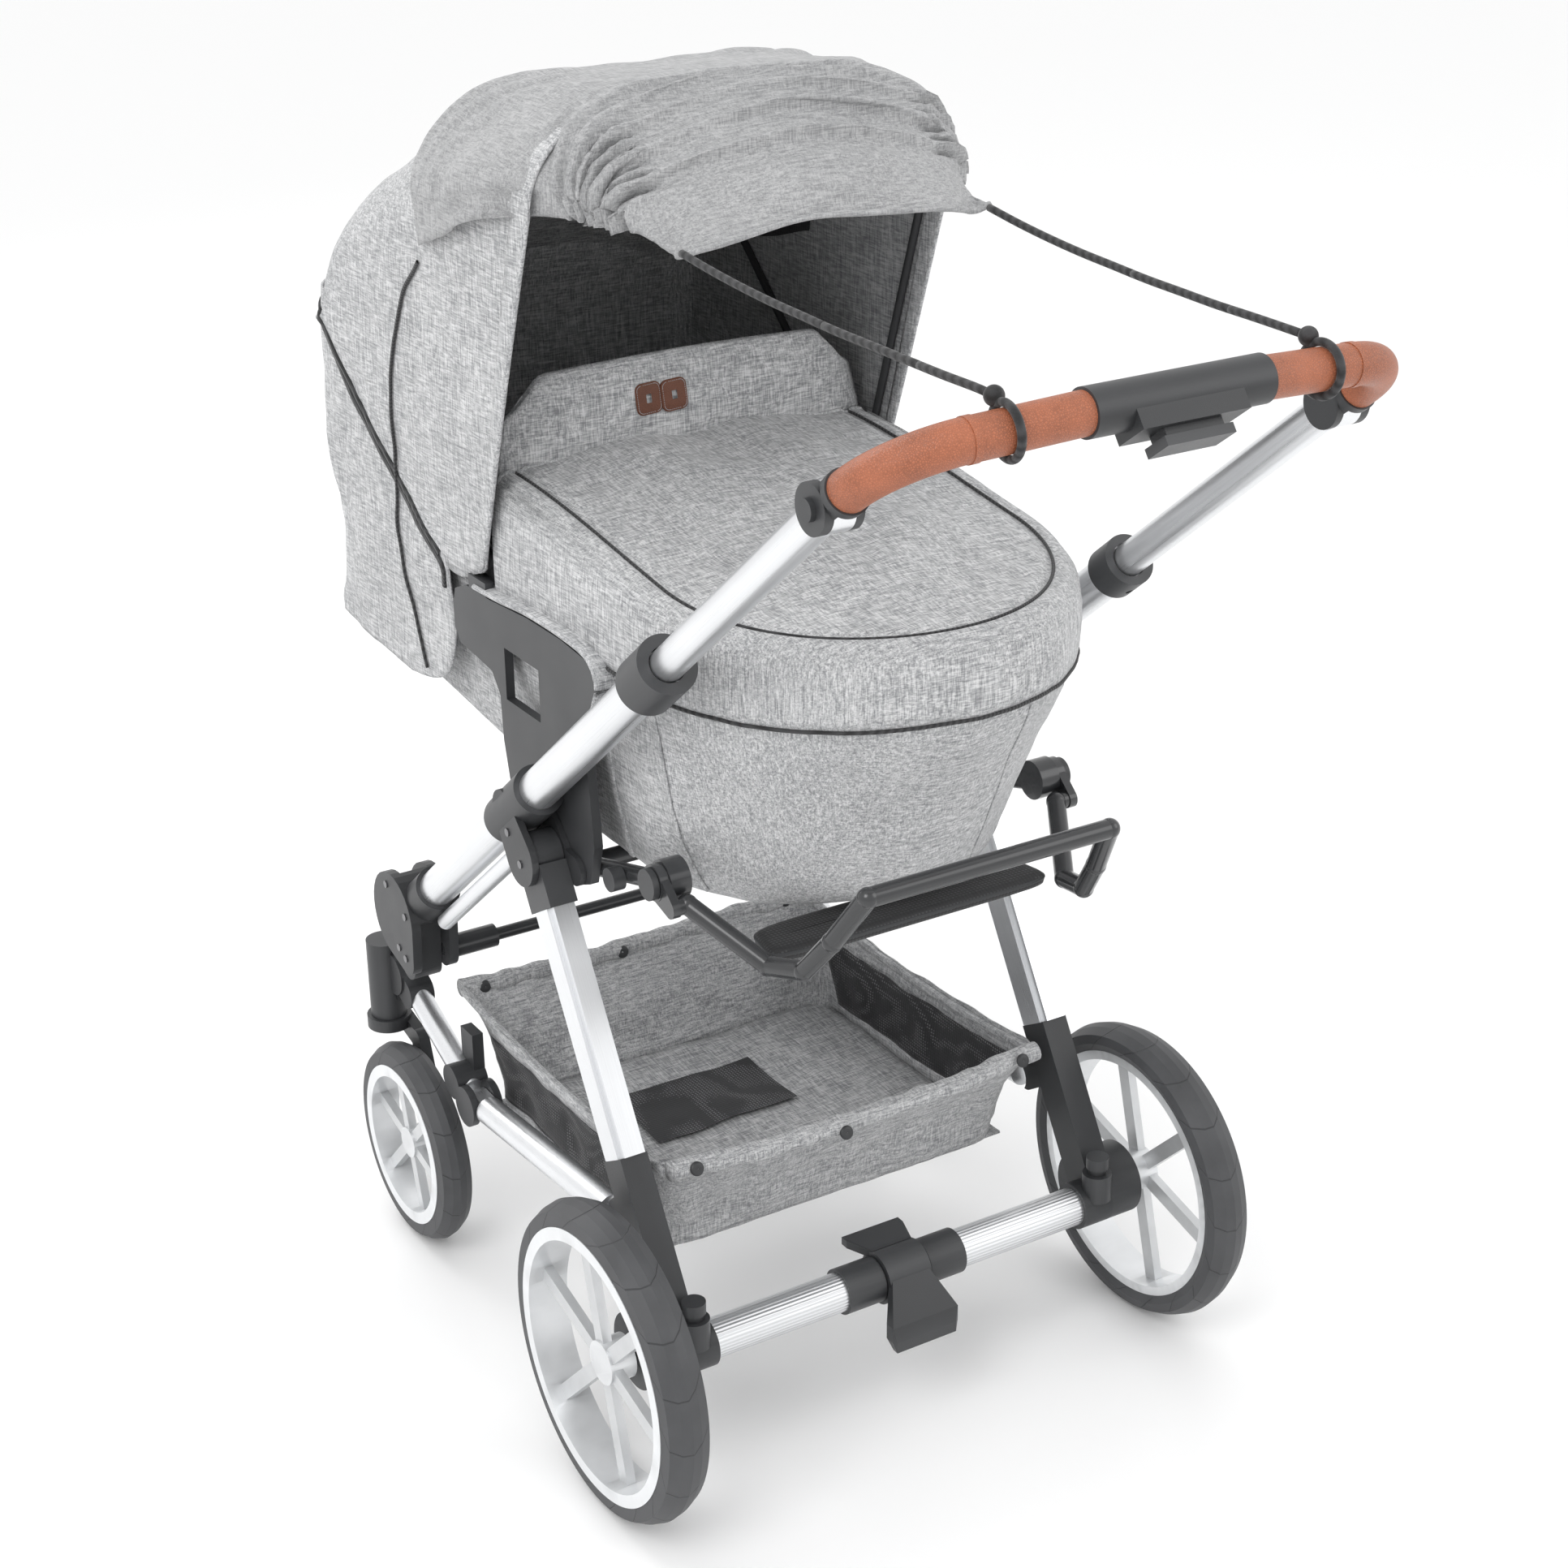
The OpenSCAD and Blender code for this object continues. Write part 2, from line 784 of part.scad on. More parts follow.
module brake_pedal() {
    color(black)
        difference() {
            union() {
                rod(axle_c - [pedal_half, 0, 0], axle_c + [pedal_half, 0, 0], centre_r + 6);
                hull() {
                    translate(axle_c + [-29, -42, 14])
                        cube([58, 8, 7]);
                    translate(axle_c + [-20, -12, 15])
                        cube([40, 4, 7]);
                }
                hull() {
                    translate(axle_c + [-14, 10, -4])
                        cube([28, 4, 22]);
                    translate(axle_c + [-33, 34, -36])
                        cube([66, 10, 14]);
                    translate(axle_c + [-30, 40, -46])
                        cube([60, 6, 10]);
                }
            }
            rod(axle_c - [40, 0, 0], axle_c + [40, 0, 0], centre_r + run_gap);
        }
}

module release_knob() {
    color(black) {
        rod(at(knob_x, knob_y, knob_seat - 6), at(knob_x, knob_y, knob_seat + 6), 8);
        rod(at(knob_x, knob_y, knob_seat + 5.5), at(knob_x, knob_y, knob_seat + 16), knob_head);
    }
}

module release_knob_left() { release_knob(); }
module release_knob_right() {
    mirror([1, 0, 0])
        release_knob();
}

// ---- wheels ----

// Rim with six spokes, outer face at x1
module rim(c, r, x0, x1, hub, recess) {
    color(silver)
        difference() {
            union() {
                difference() {
                    union() {
                        disc(c, r - tyre_h - 3, x0 + 3, x1);
                        disc(c, r - tyre_h, x1 - 3, x1);
                    }
                    disc(c, r - tyre_h - 11, x0, x1 + 1);
                }
                intersection() {
                    disc(c, r - tyre_h - 7, x0 + 4, x1 - recess);
                    for (i = [0:5])
                        translate([x1 - recess - 10, c.y, c.z])
                            rotate([60 * i + 15, 0, 0])
                                translate([0, -hub * 0.36, 0])
                                    cube([8, hub * 0.72, r]);
                }
                disc(c, hub, x0 + 5, x1 - recess);
            }
            disc(c, pin_r + run_gap, x0, x1 - recess - 5);
        }
}

module tyre(c, r, x0, x1) {
    w = x1 - x0;
    b = 7;
    color([0.18, 0.18, 0.19])
        translate([x0, c.y, c.z])
            rotate([0, 90, 0])
                rotate_extrude()
                    polygon([[r - tyre_h - 3 + air_gap, 3], [r - tyre_h + 4, 0], [r - b, 1.5],
                        [r - 2, 0.28 * w], [r, 0.5 * w], [r - 2, 0.72 * w], [r - b, w - 1.5],
                        [r - tyre_h + air_gap, w - 0.5], [r - tyre_h + air_gap, w - 3 - air_gap],
                        [r - tyre_h - 3 + air_gap, w - 3 - air_gap]]);
}

module rear_rim_left() { rim(wheel_c, rear_r, rear_x - rear_tyre_w, rear_x, rear_hub, 11); }
module rear_rim_right() {
    mirror([1, 0, 0])
        rim(wheel_c, rear_r, rear_x - rear_tyre_w, rear_x, rear_hub, 11);
}
module rear_tyre_left() { tyre(wheel_c, rear_r, rear_x - rear_tyre_w, rear_x); }
module rear_tyre_right() {
    mirror([1, 0, 0])
        tyre(wheel_c, rear_r, rear_x - rear_tyre_w, rear_x);
}
module front_rim_left() {
    rim(front_hub, front_r, front_x - front_tyre_w, front_x, front_hub_r, 7);
}
module front_rim_right() {
    mirror([1, 0, 0])
        rim(front_hub, front_r, front_x - front_tyre_w, front_x, front_hub_r, 7);
}
module front_tyre_left() { tyre(front_hub, front_r, front_x - front_tyre_w, front_x); }
module front_tyre_right() {
    mirror([1, 0, 0])
        tyre(front_hub, front_r, front_x - front_tyre_w, front_x);
}

// ---- front chassis ----

module front_arms() {
    color(black)
        pair()
            difference() {
                slab(fx - arm_t / 2, fx + arm_t / 2)
                    strip(hinge, arm_foot, 24, 15);
                disc(hinge, 7 + run_gap, fx - 30, fx + 30);
                rod(knee + [fx, 0, 0], arm_foot + [fx, -3, 0], strut_d / 2 - 2 + run_gap);
            }
}

module front_struts() {
    color(silver)
        pair() {
            rod(knee + [fx, 0, 0], arm_foot + [fx, -3, 0], strut_d / 2 - 2);
            rod(knee + [fx, 17, -9.4], elbow + [fx, -14, 8], strut_d / 2);
        }
}

module front_castings() {
    color(black)
        pair()
            difference() {
                union() {
                    translate([swivel.x, swivel.y, swivel_foot])
                        cylinder(h = swivel_top - swivel_foot, r = swivel_r);
                    disc(knee, 20, fx - 14, fx + 14);
                    slab(fx - 12, fx + 12)
                        strip(knee, knee + [0, 22, -12], 14, 14);
                    translate([fx - 10, swivel.y, 226])
                        cube([20, 20, 44]);
                }
                rod(knee + [fx, 0, 0], arm_foot + [fx, -3, 0], strut_d / 2 - 2 + run_gap);
                rod(knee + [fx, 17, -9.4], elbow + [fx, -14, 8], strut_d / 2 + run_gap);
                translate([swivel.x, swivel.y, swivel_foot - 1])
                    cylinder(h = 56, r = stem_r + run_gap);
            }
}

module paddle_brackets() {
    color(black)
        pair()
            difference() {
                union() {
                    disc(elbow, 19, fx - 15, fx - 8);
                    disc(elbow, 19, fx + 8, fx + 15);
                    disc(elbow, 5, fx - 14, fx + 14);
                    slab(fx - 15, fx + 15)
                        strip(elbow + [0, -25, 12], elbow + [0, -28, 14], 15, 15);
                    translate([fx - 15, elbow.y - 40, elbow.z + 16])
                        cube([11, 24, 44]);
                }
                rod(knee + [fx, 17, -9.4], elbow + [fx, -14, 8], strut_d / 2 + run_gap);
                difference() {
                    disc(elbow, 20, fx - 8.2, fx + 8.2);
                    disc(elbow, 5, fx - 9, fx + 9);
                }
            }
}

module lower_tubes() {
    color(silver)
        pair() {
            difference() {
                union() {
                    rod(elbow + [fx, 21, 1.8], lower_end + [fx, -6, -0.5], lower_d / 2);
                    slab(fx - 7.5, fx + 7.5)
                        strip(elbow, elbow + [0, 26, 2.2], 12, 9);
                }
                disc(elbow, 5 + run_gap, fx - 9, fx + 9);
            }
        }
}

// ---- basket ----

module basket_layer(z, half, front_y, rear_y) {
    translate([-half, axle_y + front_y, z])
        cube([2 * half, rear_y - front_y, 1]);
}

module basket_form(inset, lift) {
    hull() {
        basket_layer(basket_floor + inset, basket_half - 12 - inset, -384 + inset, -82 - inset);
        basket_layer(basket_rim - 10 + lift, basket_half - 4 - inset, -436 + inset, -44 - inset);
    }
}

module basket() {
    color(cloth)
        difference() {
            union() {
                basket_form(0, 0);
                pair() {
                    rod(at(basket_half - 10, -430, basket_rim - 8),
                        at(basket_half - 10, -50, basket_rim - 8), 5);
                    translate([basket_half - 12, elbow.y - 36, basket_rim - 34])
                        cube([fx - 15 - air_gap - basket_half + 12, 22, 10]);
                    translate([basket_half - 12, axle_y - 92, basket_rim - 16])
                        cube([fx - leg_t_x / 2 - air_gap - basket_half + 12, 24, 8]);
                }
            }
            basket_form(basket_wall, 12);
        }
}

// ---- front swivels ----

module fork() {
    color(black) {
        translate([swivel.x, swivel.y, swivel_foot - air_gap - 12])
            cylinder(h = 12, r = swivel_r + 4);
        translate([swivel.x, swivel.y, swivel_foot - 2])
            cylinder(h = 54, r = stem_r);
        slab(fork_in, fork_out)
            strip([0, swivel.y, 196], [0, swivel.y + 34, 188], 9, 9);
        slab(fork_in, fork_out)
            strip([0, swivel.y + 34, 188], front_hub, 10, 14);
        disc(front_hub, pin_r, fork_out - 2, front_x - 13);
    }
}

module fork_left() { fork(); }
module fork_right() {
    mirror([1, 0, 0])
        fork();
}

// ---- fold coupling ----

module coupling_tubes() {
    color(silver)
        pair()
            rod(along(62, -link_off), along(link_b, -link_off), link_d / 2);
}

// ---- push arm and handlebar ----

module push_tube() {
    color(silver)
        difference() {
            union() {
                difference() {
                    rod(along(main_len - push_in), along(main_len + push_out - bar_eye_r - 1), push_d / 2);
                    rod(along(main_len - push_in - 1), along(main_len + push_out - 30),
                        push_d / 2 - tube_wall);
                }
                slab(fx - hub_t / 2, fx + hub_t / 2)
                    strip(bar_pivot, along(main_len + push_out - 24, 0, 0), 12, 8);
                disc(bar_pivot, bar_eye_r, fx - hub_t / 2, fx + hub_t / 2);
            }
            disc(bar_pivot, 10, fx + hub_t / 2 - 5, fx + 20);
            disc(bar_pivot, 5 + run_gap, fx - 20, fx + 20);
        }
}

module push_tube_left() { push_tube(); }
module push_tube_right() {
    mirror([1, 0, 0])
        push_tube();
}

module bar_elbows() {
    color(black)
        pair()
            difference() {
                union() {
                    disc(bar_pivot, bar_eye_r, elbow_out, elbow_out + 7);
                    disc(bar_pivot, bar_eye_r, elbow_in - 6, elbow_in);
                    rod(on_bar(fx, bar_eye_r + 2 * air_gap), on_bar(fx, bend_s - 0.1), grip_d / 2 + 1.5);
                    disc(bar_pivot, 5, elbow_in - 1, fx - 2);
                    intersection() {
                        rod(on_bar(fx, 4), on_bar(fx, 20), grip_d / 2 + 1);
                        union() {
                            disc(bar_pivot, 40, elbow_out, elbow_out + 7);
                            disc(bar_pivot, 40, elbow_in - 6, elbow_in);
                        }
                    }
                }
                disc(bar_pivot, bar_eye_r + air_gap, elbow_in, elbow_out);
                disc(bar_pivot, 8 + run_gap, fx + 2, fx + 40);
            }
}

module bar_grips() {
    color(tan_leather)
        pair() {
            difference() {
                rod(on_bar(bend_end_x, bend_end_s), on_bar(unit_half - 5, bar_s(unit_half - 5)), grip_d / 2);
                translate(on_bar(0, unit_s) - [unit_half + 0.1, 60, 60])
                    cube([2 * unit_half + 0.2, 120, 120]);
            }
            translate(on_bar(bend_x, bend_s))
                rotate([bar_tilt, 0, 0])
                    rotate_extrude(angle = bend_a)
                        translate([bend_r, 0])
                            circle(r = grip_d / 2);
            rod(on_bar(bend_end_x + 2, bar_s(bend_end_x + 2)), on_bar(bend_end_x - 4, bar_s(bend_end_x - 4)),
                grip_d / 2 + seam);
        }
}

module bar_unit() {
    color(black)
        difference() {
            union() {
                rod(on_bar(-unit_half, unit_s), on_bar(unit_half, unit_s), grip_d / 2 + 2);
                translate(on_bar(0, unit_s))
                    rotate([bar_tilt, 0, 0])
                        translate([-44, -15, -22])
                            cube([88, 30, 20]);
            }
            translate(on_bar(0, unit_s))
                rotate([bar_tilt, 0, 0])
                    translate([-24, -9, -23])
                        cube([48, 18, 16]);
        }
}

module fold_trigger() {
    color(black)
        translate(on_bar(0, unit_s))
            rotate([bar_tilt, 0, 0]) {
                translate([-28, -12, -35])
                    cube([56, 24, 7]);
                translate([-23.6, -8.6, -29])
                    cube([47.2, 17.2, 16]);
            }
}

module tilt_button() {
    color(black)
        disc(bar_pivot, 8, fx + hub_t / 2 - 0.5, elbow_out + 11);
}

module tilt_button_left() { tilt_button(); }
module tilt_button_right() {
    mirror([1, 0, 0])
        tilt_button();
}

// ---- fasteners and cords ----

module frame_screws() {
    color([0.3, 0.3, 0.31])
        pair() {
            for (p = [along(leg_t - 4, -18, 0), leg_hinge + [0, 2, -4]])
                disc(p, screw_r, lobe_out + bracket_cheek, lobe_out + bracket_cheek + 1.2);
            for (a = [110, 20, -70])
                disc(hinge + [0, 30 * cos(a), 30 * sin(a)], screw_r, hinge_out + cheek,
                    hinge_out + cheek + 1.2);
            disc(rod_c, screw_r, hinge_out + cheek, hinge_out + cheek + 1.2);
        }
}

module cord_loops() {
    color(black)
        pair() {
            translate(on_bar(knot_x, bar_s(knot_x)))
                rotate([bar_tilt, 0, 0])
                    rotate([0, 90, bend_a - 90])
                        rotate_extrude()
                            translate([grip_d / 2 + cord_d / 2 + air_gap, 0])
                                circle(r = cord_d / 2, $fn = 24);
            translate(on_bar(knot_x, bar_s(knot_x), knot_up + 1))
                sphere(r = 7, $fn = 24);
        }
}

// Tube swept along a list of points, with flat ends
module swept(path, r, sides = 8) {
    n = len(path);
    function way(i) = let (a = path[max(i - 1, 0)], b = path[min(i + 1, n - 1)]) (b - a) / norm(b - a);
    function side(i) = let (w = way(i), s = cross([0, 0, 1], w)) s / norm(s);
    pts = [for (i = [0:n - 1], k = [0:sides - 1])
        path[i] + r * (cos(360 * k / sides) * side(i) + sin(360 * k / sides) * cross(way(i), side(i)))];
    faces = concat(
        [[for (k = [0:sides - 1]) k]],
        [for (i = [0:n - 2], k = [0:sides - 1])
            [i * sides + k, (i + 1) * sides + k, (i + 1) * sides + (k + 1) % sides,
                i * sides + (k + 1) % sides]],
        [[for (k = [sides - 1:-1:0]) (n - 1) * sides + k]]);
    polyhedron(points = pts, faces = faces, convexity = 4);
}

module sail_cord_left() {
    color(black)
        swept(cord_left, cord_d / 2);
}
module sail_cord_right() {
    color(black)
        swept(cord_right, cord_d / 2);
}

main_tube_left();
main_tube_right();
frame_brackets();
hinge_housings();
cross_rod();
twist_collar();
end_ring();
seat_plate_left();
seat_plate_right();
seat_tubes();
seat_knobs();
cot_shell();
cot_mattress();
cot_apron();
apron_flap();
hood_mounts();
front_bow();
rear_bow();
hood_fabric();
sun_sail();
leg_rest_frame();
leg_rest_pad();
leg_heads();
rear_leg_left();
rear_leg_right();
lower_legs();
axle_tubes();
axle_centre();
brake_pedal();
release_knob_left();
release_knob_right();
rear_rim_left();
rear_rim_right();
rear_tyre_left();
rear_tyre_right();
front_arms();
front_castings();
front_struts();
paddle_brackets();
lower_tubes();
basket();
fork_left();
fork_right();
front_rim_left();
front_rim_right();
front_tyre_left();
front_tyre_right();
coupling_tubes();
push_tube_left();
push_tube_right();
bar_elbows();
bar_grips();
bar_unit();
fold_trigger();
tilt_button_left();
tilt_button_right();
frame_screws();
cord_loops();
sail_cord_left();
sail_cord_right();
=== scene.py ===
"""Looks of a folding baby stroller: carrycot, hood with sun sail, frame, basket and wheels."""
from __future__ import annotations

import logging
import math
from dataclasses import dataclass, field
from typing import Callable, Sequence

import bmesh
import bpy
import numpy as np
from mathutils.bvhtree import BVHTree
from mathutils import Matrix, Vector, noise

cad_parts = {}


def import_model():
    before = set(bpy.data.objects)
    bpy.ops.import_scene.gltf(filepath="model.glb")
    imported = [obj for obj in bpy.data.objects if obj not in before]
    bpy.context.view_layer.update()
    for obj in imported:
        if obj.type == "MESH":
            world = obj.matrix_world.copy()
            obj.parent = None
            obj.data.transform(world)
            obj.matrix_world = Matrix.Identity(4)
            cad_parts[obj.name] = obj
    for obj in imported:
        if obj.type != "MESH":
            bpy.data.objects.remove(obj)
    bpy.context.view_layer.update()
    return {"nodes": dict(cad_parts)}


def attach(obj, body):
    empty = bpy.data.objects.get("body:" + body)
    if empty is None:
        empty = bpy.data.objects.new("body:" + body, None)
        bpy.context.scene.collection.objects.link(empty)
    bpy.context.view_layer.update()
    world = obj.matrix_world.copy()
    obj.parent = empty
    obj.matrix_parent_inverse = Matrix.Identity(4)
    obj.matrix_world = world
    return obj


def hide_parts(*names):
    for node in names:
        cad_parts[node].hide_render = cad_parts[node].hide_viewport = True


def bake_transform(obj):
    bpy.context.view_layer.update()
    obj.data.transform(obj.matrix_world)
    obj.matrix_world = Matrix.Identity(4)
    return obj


LOG = logging.getLogger("stroller")
AXLE = 0.1547
Pair = tuple[float, float]
Triple = tuple[float, float, float]


def at(x: float, y: float, z: float) -> Vector:
    """A point given from the rear axle, as a point in the row frame."""
    return Vector((x, y + AXLE, z))


def smooth(a: float, b: float, t: float) -> float:
    """Smooth step of t from 0 at a to 1 at b."""
    k = min(max((t - a) / (b - a), 0.0), 1.0)
    return k * k * (3 - 2 * k)


def flow(points: Sequence[Sequence[float]], count: int) -> np.ndarray:
    """Even points along a smooth curve through the given ones.

    Args:
        points: the points that the curve passes.
        count: how many points to return.

    Returns:
        An array with one row per point.
    """
    p = np.array(points, float)
    ext = np.vstack([2 * p[0] - p[1], p, 2 * p[-1] - p[-2]])
    fine = []
    for i in range(len(p) - 1):
        a, b, c, d = ext[i : i + 4]
        for t in np.linspace(0, 1, 24, endpoint=False):
            fine.append(
                0.5 * (
                    2 * b + (c - a) * t + (2 * a - 5 * b + 4 * c - d) * t * t
                    + (3 * b - a - 3 * c + d) * t**3
                )
            )
    fine.append(p[-1])
    f = np.array(fine)
    run = np.concatenate([[0], np.cumsum(np.linalg.norm(np.diff(f, axis=0), axis=1))])
    want = np.linspace(0, run[-1], count)
    return np.stack([np.interp(want, run, f[:, k]) for k in range(f.shape[1])], axis=1)


# ---------------------------------------------------------------- finishes


class Graph:
    """A material's node tree, with short calls to add to it."""

    def __init__(self, name: str) -> None:
        """Makes an empty material of that name with a principled shader."""
        self.mat = bpy.data.materials.new(name)
        self.mat.use_nodes = True
        self.tree = self.mat.node_tree
        self.tree.nodes.clear()
        self.out = self.tree.nodes.new("ShaderNodeOutputMaterial")
        self.bsdf = self.tree.nodes.new("ShaderNodeBsdfPrincipled")
        self.tree.links.new(self.bsdf.outputs[0], self.out.inputs[0])
        self.coord = self.tree.nodes.new("ShaderNodeTexCoord")

    def put(self, kind: str, inputs: dict | None = None, **attrs: object) -> bpy.types.Node:
        """Adds a node.

        Args:
            kind: the node's type name.
            inputs: values or sockets by input name or number.
            attrs: attributes to set on the node.

        Returns:
            The new node.
        """
        node = self.tree.nodes.new(kind)
        for key, value in attrs.items():
            setattr(node, key, value)
        for key, value in (inputs or {}).items():
            if isinstance(value, bpy.types.NodeSocket):
                self.tree.links.new(value, node.inputs[key])
            else:
                node.inputs[key].default_value = value
        return node

    def math(self, op: str, a: object, b: object = 0.0, clamp: bool = False) -> bpy.types.NodeSocket:
        """Output of a math node."""
        return self.put("ShaderNodeMath", {0: a, 1: b}, operation=op, use_clamp=clamp).outputs[0]

    def grain(
        self, scale: Triple, detail: float = 2.0, spin: Triple = (0, 0, 0), rough: float = 0.55
    ) -> bpy.types.NodeSocket:
        """Noise stretched over the object's own coordinates.

        Args:
            scale: features per metre along each axis.
            detail: octaves of the noise.
            spin: turn of the axes, in radians.
            rough: strength of the finer octaves.

        Returns:
            The noise value's socket.
        """
        m = self.put(
            "ShaderNodeMapping", {"Vector": self.coord.outputs["Object"], "Scale": scale, "Rotation": spin},
            vector_type="TEXTURE" if any(spin) else "POINT"
        )
        if any(spin):
            m.inputs["Scale"].default_value = (1, 1, 1)
            m = self.put("ShaderNodeMapping", {"Vector": m.outputs[0], "Scale": scale})
        return self.put(
            "ShaderNodeTexNoise", {"Vector": m.outputs[0], "Scale": 1.0, "Detail": detail, "Roughness": rough}
        ).outputs[0]

    def ramp(self, value: object, stops: Sequence[tuple[float, Sequence[float]]]) -> bpy.types.NodeSocket:
        """Colour ramp output.

        Args:
            value: the driving value.
            stops: places and linear colours.

        Returns:
            The colour socket.
        """
        node = self.put("ShaderNodeValToRGB", {"Fac": value})
        ramp = node.color_ramp
        while len(ramp.elements) < len(stops):
            ramp.elements.new(0.5)
        for e, (place, colour) in zip(ramp.elements, stops):
            e.position = place
            e.color = (*colour[:3], 1.0)
        return node.outputs[0]

    def bump(
        self, height: object, distance: float, strength: float = 1.0, under: object = None
    ) -> bpy.types.NodeSocket:
        """Bump normal from a height value."""
        inputs = {"Height": height, "Distance": distance, "Strength": strength}
        if under is not None:
            inputs["Normal"] = under
        return self.put("ShaderNodeBump", inputs).outputs[0]

    def set(self, **values: object) -> None:
        """Sets or links the principled shader's inputs; underscores stand for spaces."""
        for key, value in values.items():
            name = key.replace("_", " ")
            if isinstance(value, bpy.types.NodeSocket):
                self.tree.links.new(value, self.bsdf.inputs[name])
            else:
                self.bsdf.inputs[name].default_value = value


@dataclass(frozen=True)
class Finish:
    """A surface finish that makes its material once."""

    name: str

    def graph(self, g: Graph) -> None:
        """Fills the node tree; each finish has its own."""
        raise NotImplementedError

    def material(self) -> bpy.types.Material:
        """The finish's material, made on first use."""
        found = bpy.data.materials.get(self.name)
        if found is None:
            g = Graph(self.name)
            self.graph(g)
            found = g.mat
        return found


@dataclass(frozen=True)
class Melange(Finish):
    """Linen-look woven cloth: light and dark threads both ways."""

    dark: Triple = (0.24, 0.244, 0.252)
    mid: Triple = (0.43, 0.435, 0.443)
    light: Triple = (0.66, 0.66, 0.665)
    shade: float = 1.0
    sheen: float = 0.2

    def graph(self, g: Graph) -> None:
        """Threads run along the two axes that lie in the surface."""
        n = g.put("ShaderNodeSeparateXYZ", {0: g.coord.outputs["Normal"]})
        total: object = 0.0
        fine: object = 0.0
        for i in range(3):
            long = [1150.0] * 3
            long[i] = 95.0
            wide = [520.0] * 3
            wide[i] = 45.0
            w = g.math("SUBTRACT", 1.0, g.math("MULTIPLY", n.outputs[i], n.outputs[i]), clamp=True)
            a = g.math("SUBTRACT", g.grain(tuple(long), 2.0), 0.5)
            b = g.math("SUBTRACT", g.grain(tuple(wide), 1.0), 0.5)
            both = g.math("ADD", a, g.math("MULTIPLY", b, 0.75))
            total = g.math("ADD", total, g.math("MULTIPLY", both, w))
            fine = g.math("ADD", fine, g.math("MULTIPLY", a, w))
        cloud = g.math("MULTIPLY", g.math("SUBTRACT", g.grain((14, 14, 14), 3.0), 0.5), 0.22)
        value = g.math("ADD", g.math("MULTIPLY", g.math("ADD", total, cloud), 1.25), 0.5, clamp=True)
        k = self.shade
        stops = [
            (0.12, [c * k for c in self.dark]), (0.5, [c * k for c in self.mid]),
            (0.86, [c * k for c in self.light])
        ]
        soft = g.bump(g.grain((45, 45, 45), 3.0), 0.0016, 0.35)
        g.set(
            Base_Color=g.ramp(value, stops),
            Roughness=0.86,
            Sheen_Weight=self.sheen,
            Sheen_Roughness=0.45,
            Specular_IOR_Level=0.25,
            Normal=g.bump(fine, 0.0012, 0.6, soft),
        )


@dataclass(frozen=True)
class Moulded(Finish):
    """Moulded plastic or painted metal with a fine grain."""

    colour: Triple = (0.026, 0.027, 0.029)
    rough: float = 0.42
    metal: float = 0.0
    grain: float = 1800.0
    depth: float = 0.00012
    coat: float = 0.0

    def graph(self, g: Graph) -> None:
        """Fine grain, patchy gloss and slightly rubbed edges."""
        patch = g.grain((30, 30, 30), 3.0)
        edge = g.put("ShaderNodeNewGeometry").outputs["Pointiness"]
        rub = g.math("MULTIPLY", g.math("SUBTRACT", edge, 0.515), 6.0, clamp=True)
        value = g.math("ADD", g.math("MULTIPLY", patch, 0.35), g.math("MULTIPLY", rub, 0.65), clamp=True)
        c = self.colour
        stops = [
            (0.0, [x * 0.82 for x in c]), (0.35, [x * 1.15 for x in c]), (1.0, [x * 1.5 + 0.015 for x in c])
        ]
        rough = g.math("ADD", g.math("MULTIPLY", patch, 0.16), self.rough - 0.08)
        fine = g.grain((self.grain,) * 3, 1.0)
        g.set(
            Base_Color=g.ramp(value, stops),
            Roughness=rough,
            Metallic=self.metal,
            Coat_Weight=self.coat,
            Normal=g.bump(fine, self.depth, 0.7),
        )


@dataclass(frozen=True)
class Anodised(Finish):
    """Satin aluminium with faint lines along the tube."""

    along: int = 0
    tilt: float = 0.0
    colour: Triple = (0.80, 0.81, 0.825)
    rough: float = 0.3
    metal: float = 0.92

    def graph(self, g: Graph) -> None:
        """Drawn lines run along the named axis, after the tilt."""
        scale = [1500.0] * 3
        scale[self.along] = 5.0
        lines = g.grain(tuple(scale), 2.0, (self.tilt, 0, 0))
        patch = g.grain((16, 16, 16), 2.0)
        stops = [(0.25, [c * 0.93 for c in self.colour]), (0.75, [min(c * 1.05, 0.95) for c in self.colour])]
        g.set(
            Base_Color=g.ramp(
                g.math("ADD", g.math("MULTIPLY", lines, 0.6), g.math("MULTIPLY", patch, 0.4)), stops
            ),
            Roughness=g.math("ADD", g.math("MULTIPLY", lines, 0.14), self.rough - 0.07),
            Metallic=self.metal,
            Normal=g.bump(lines, 0.00012, 0.5),
        )


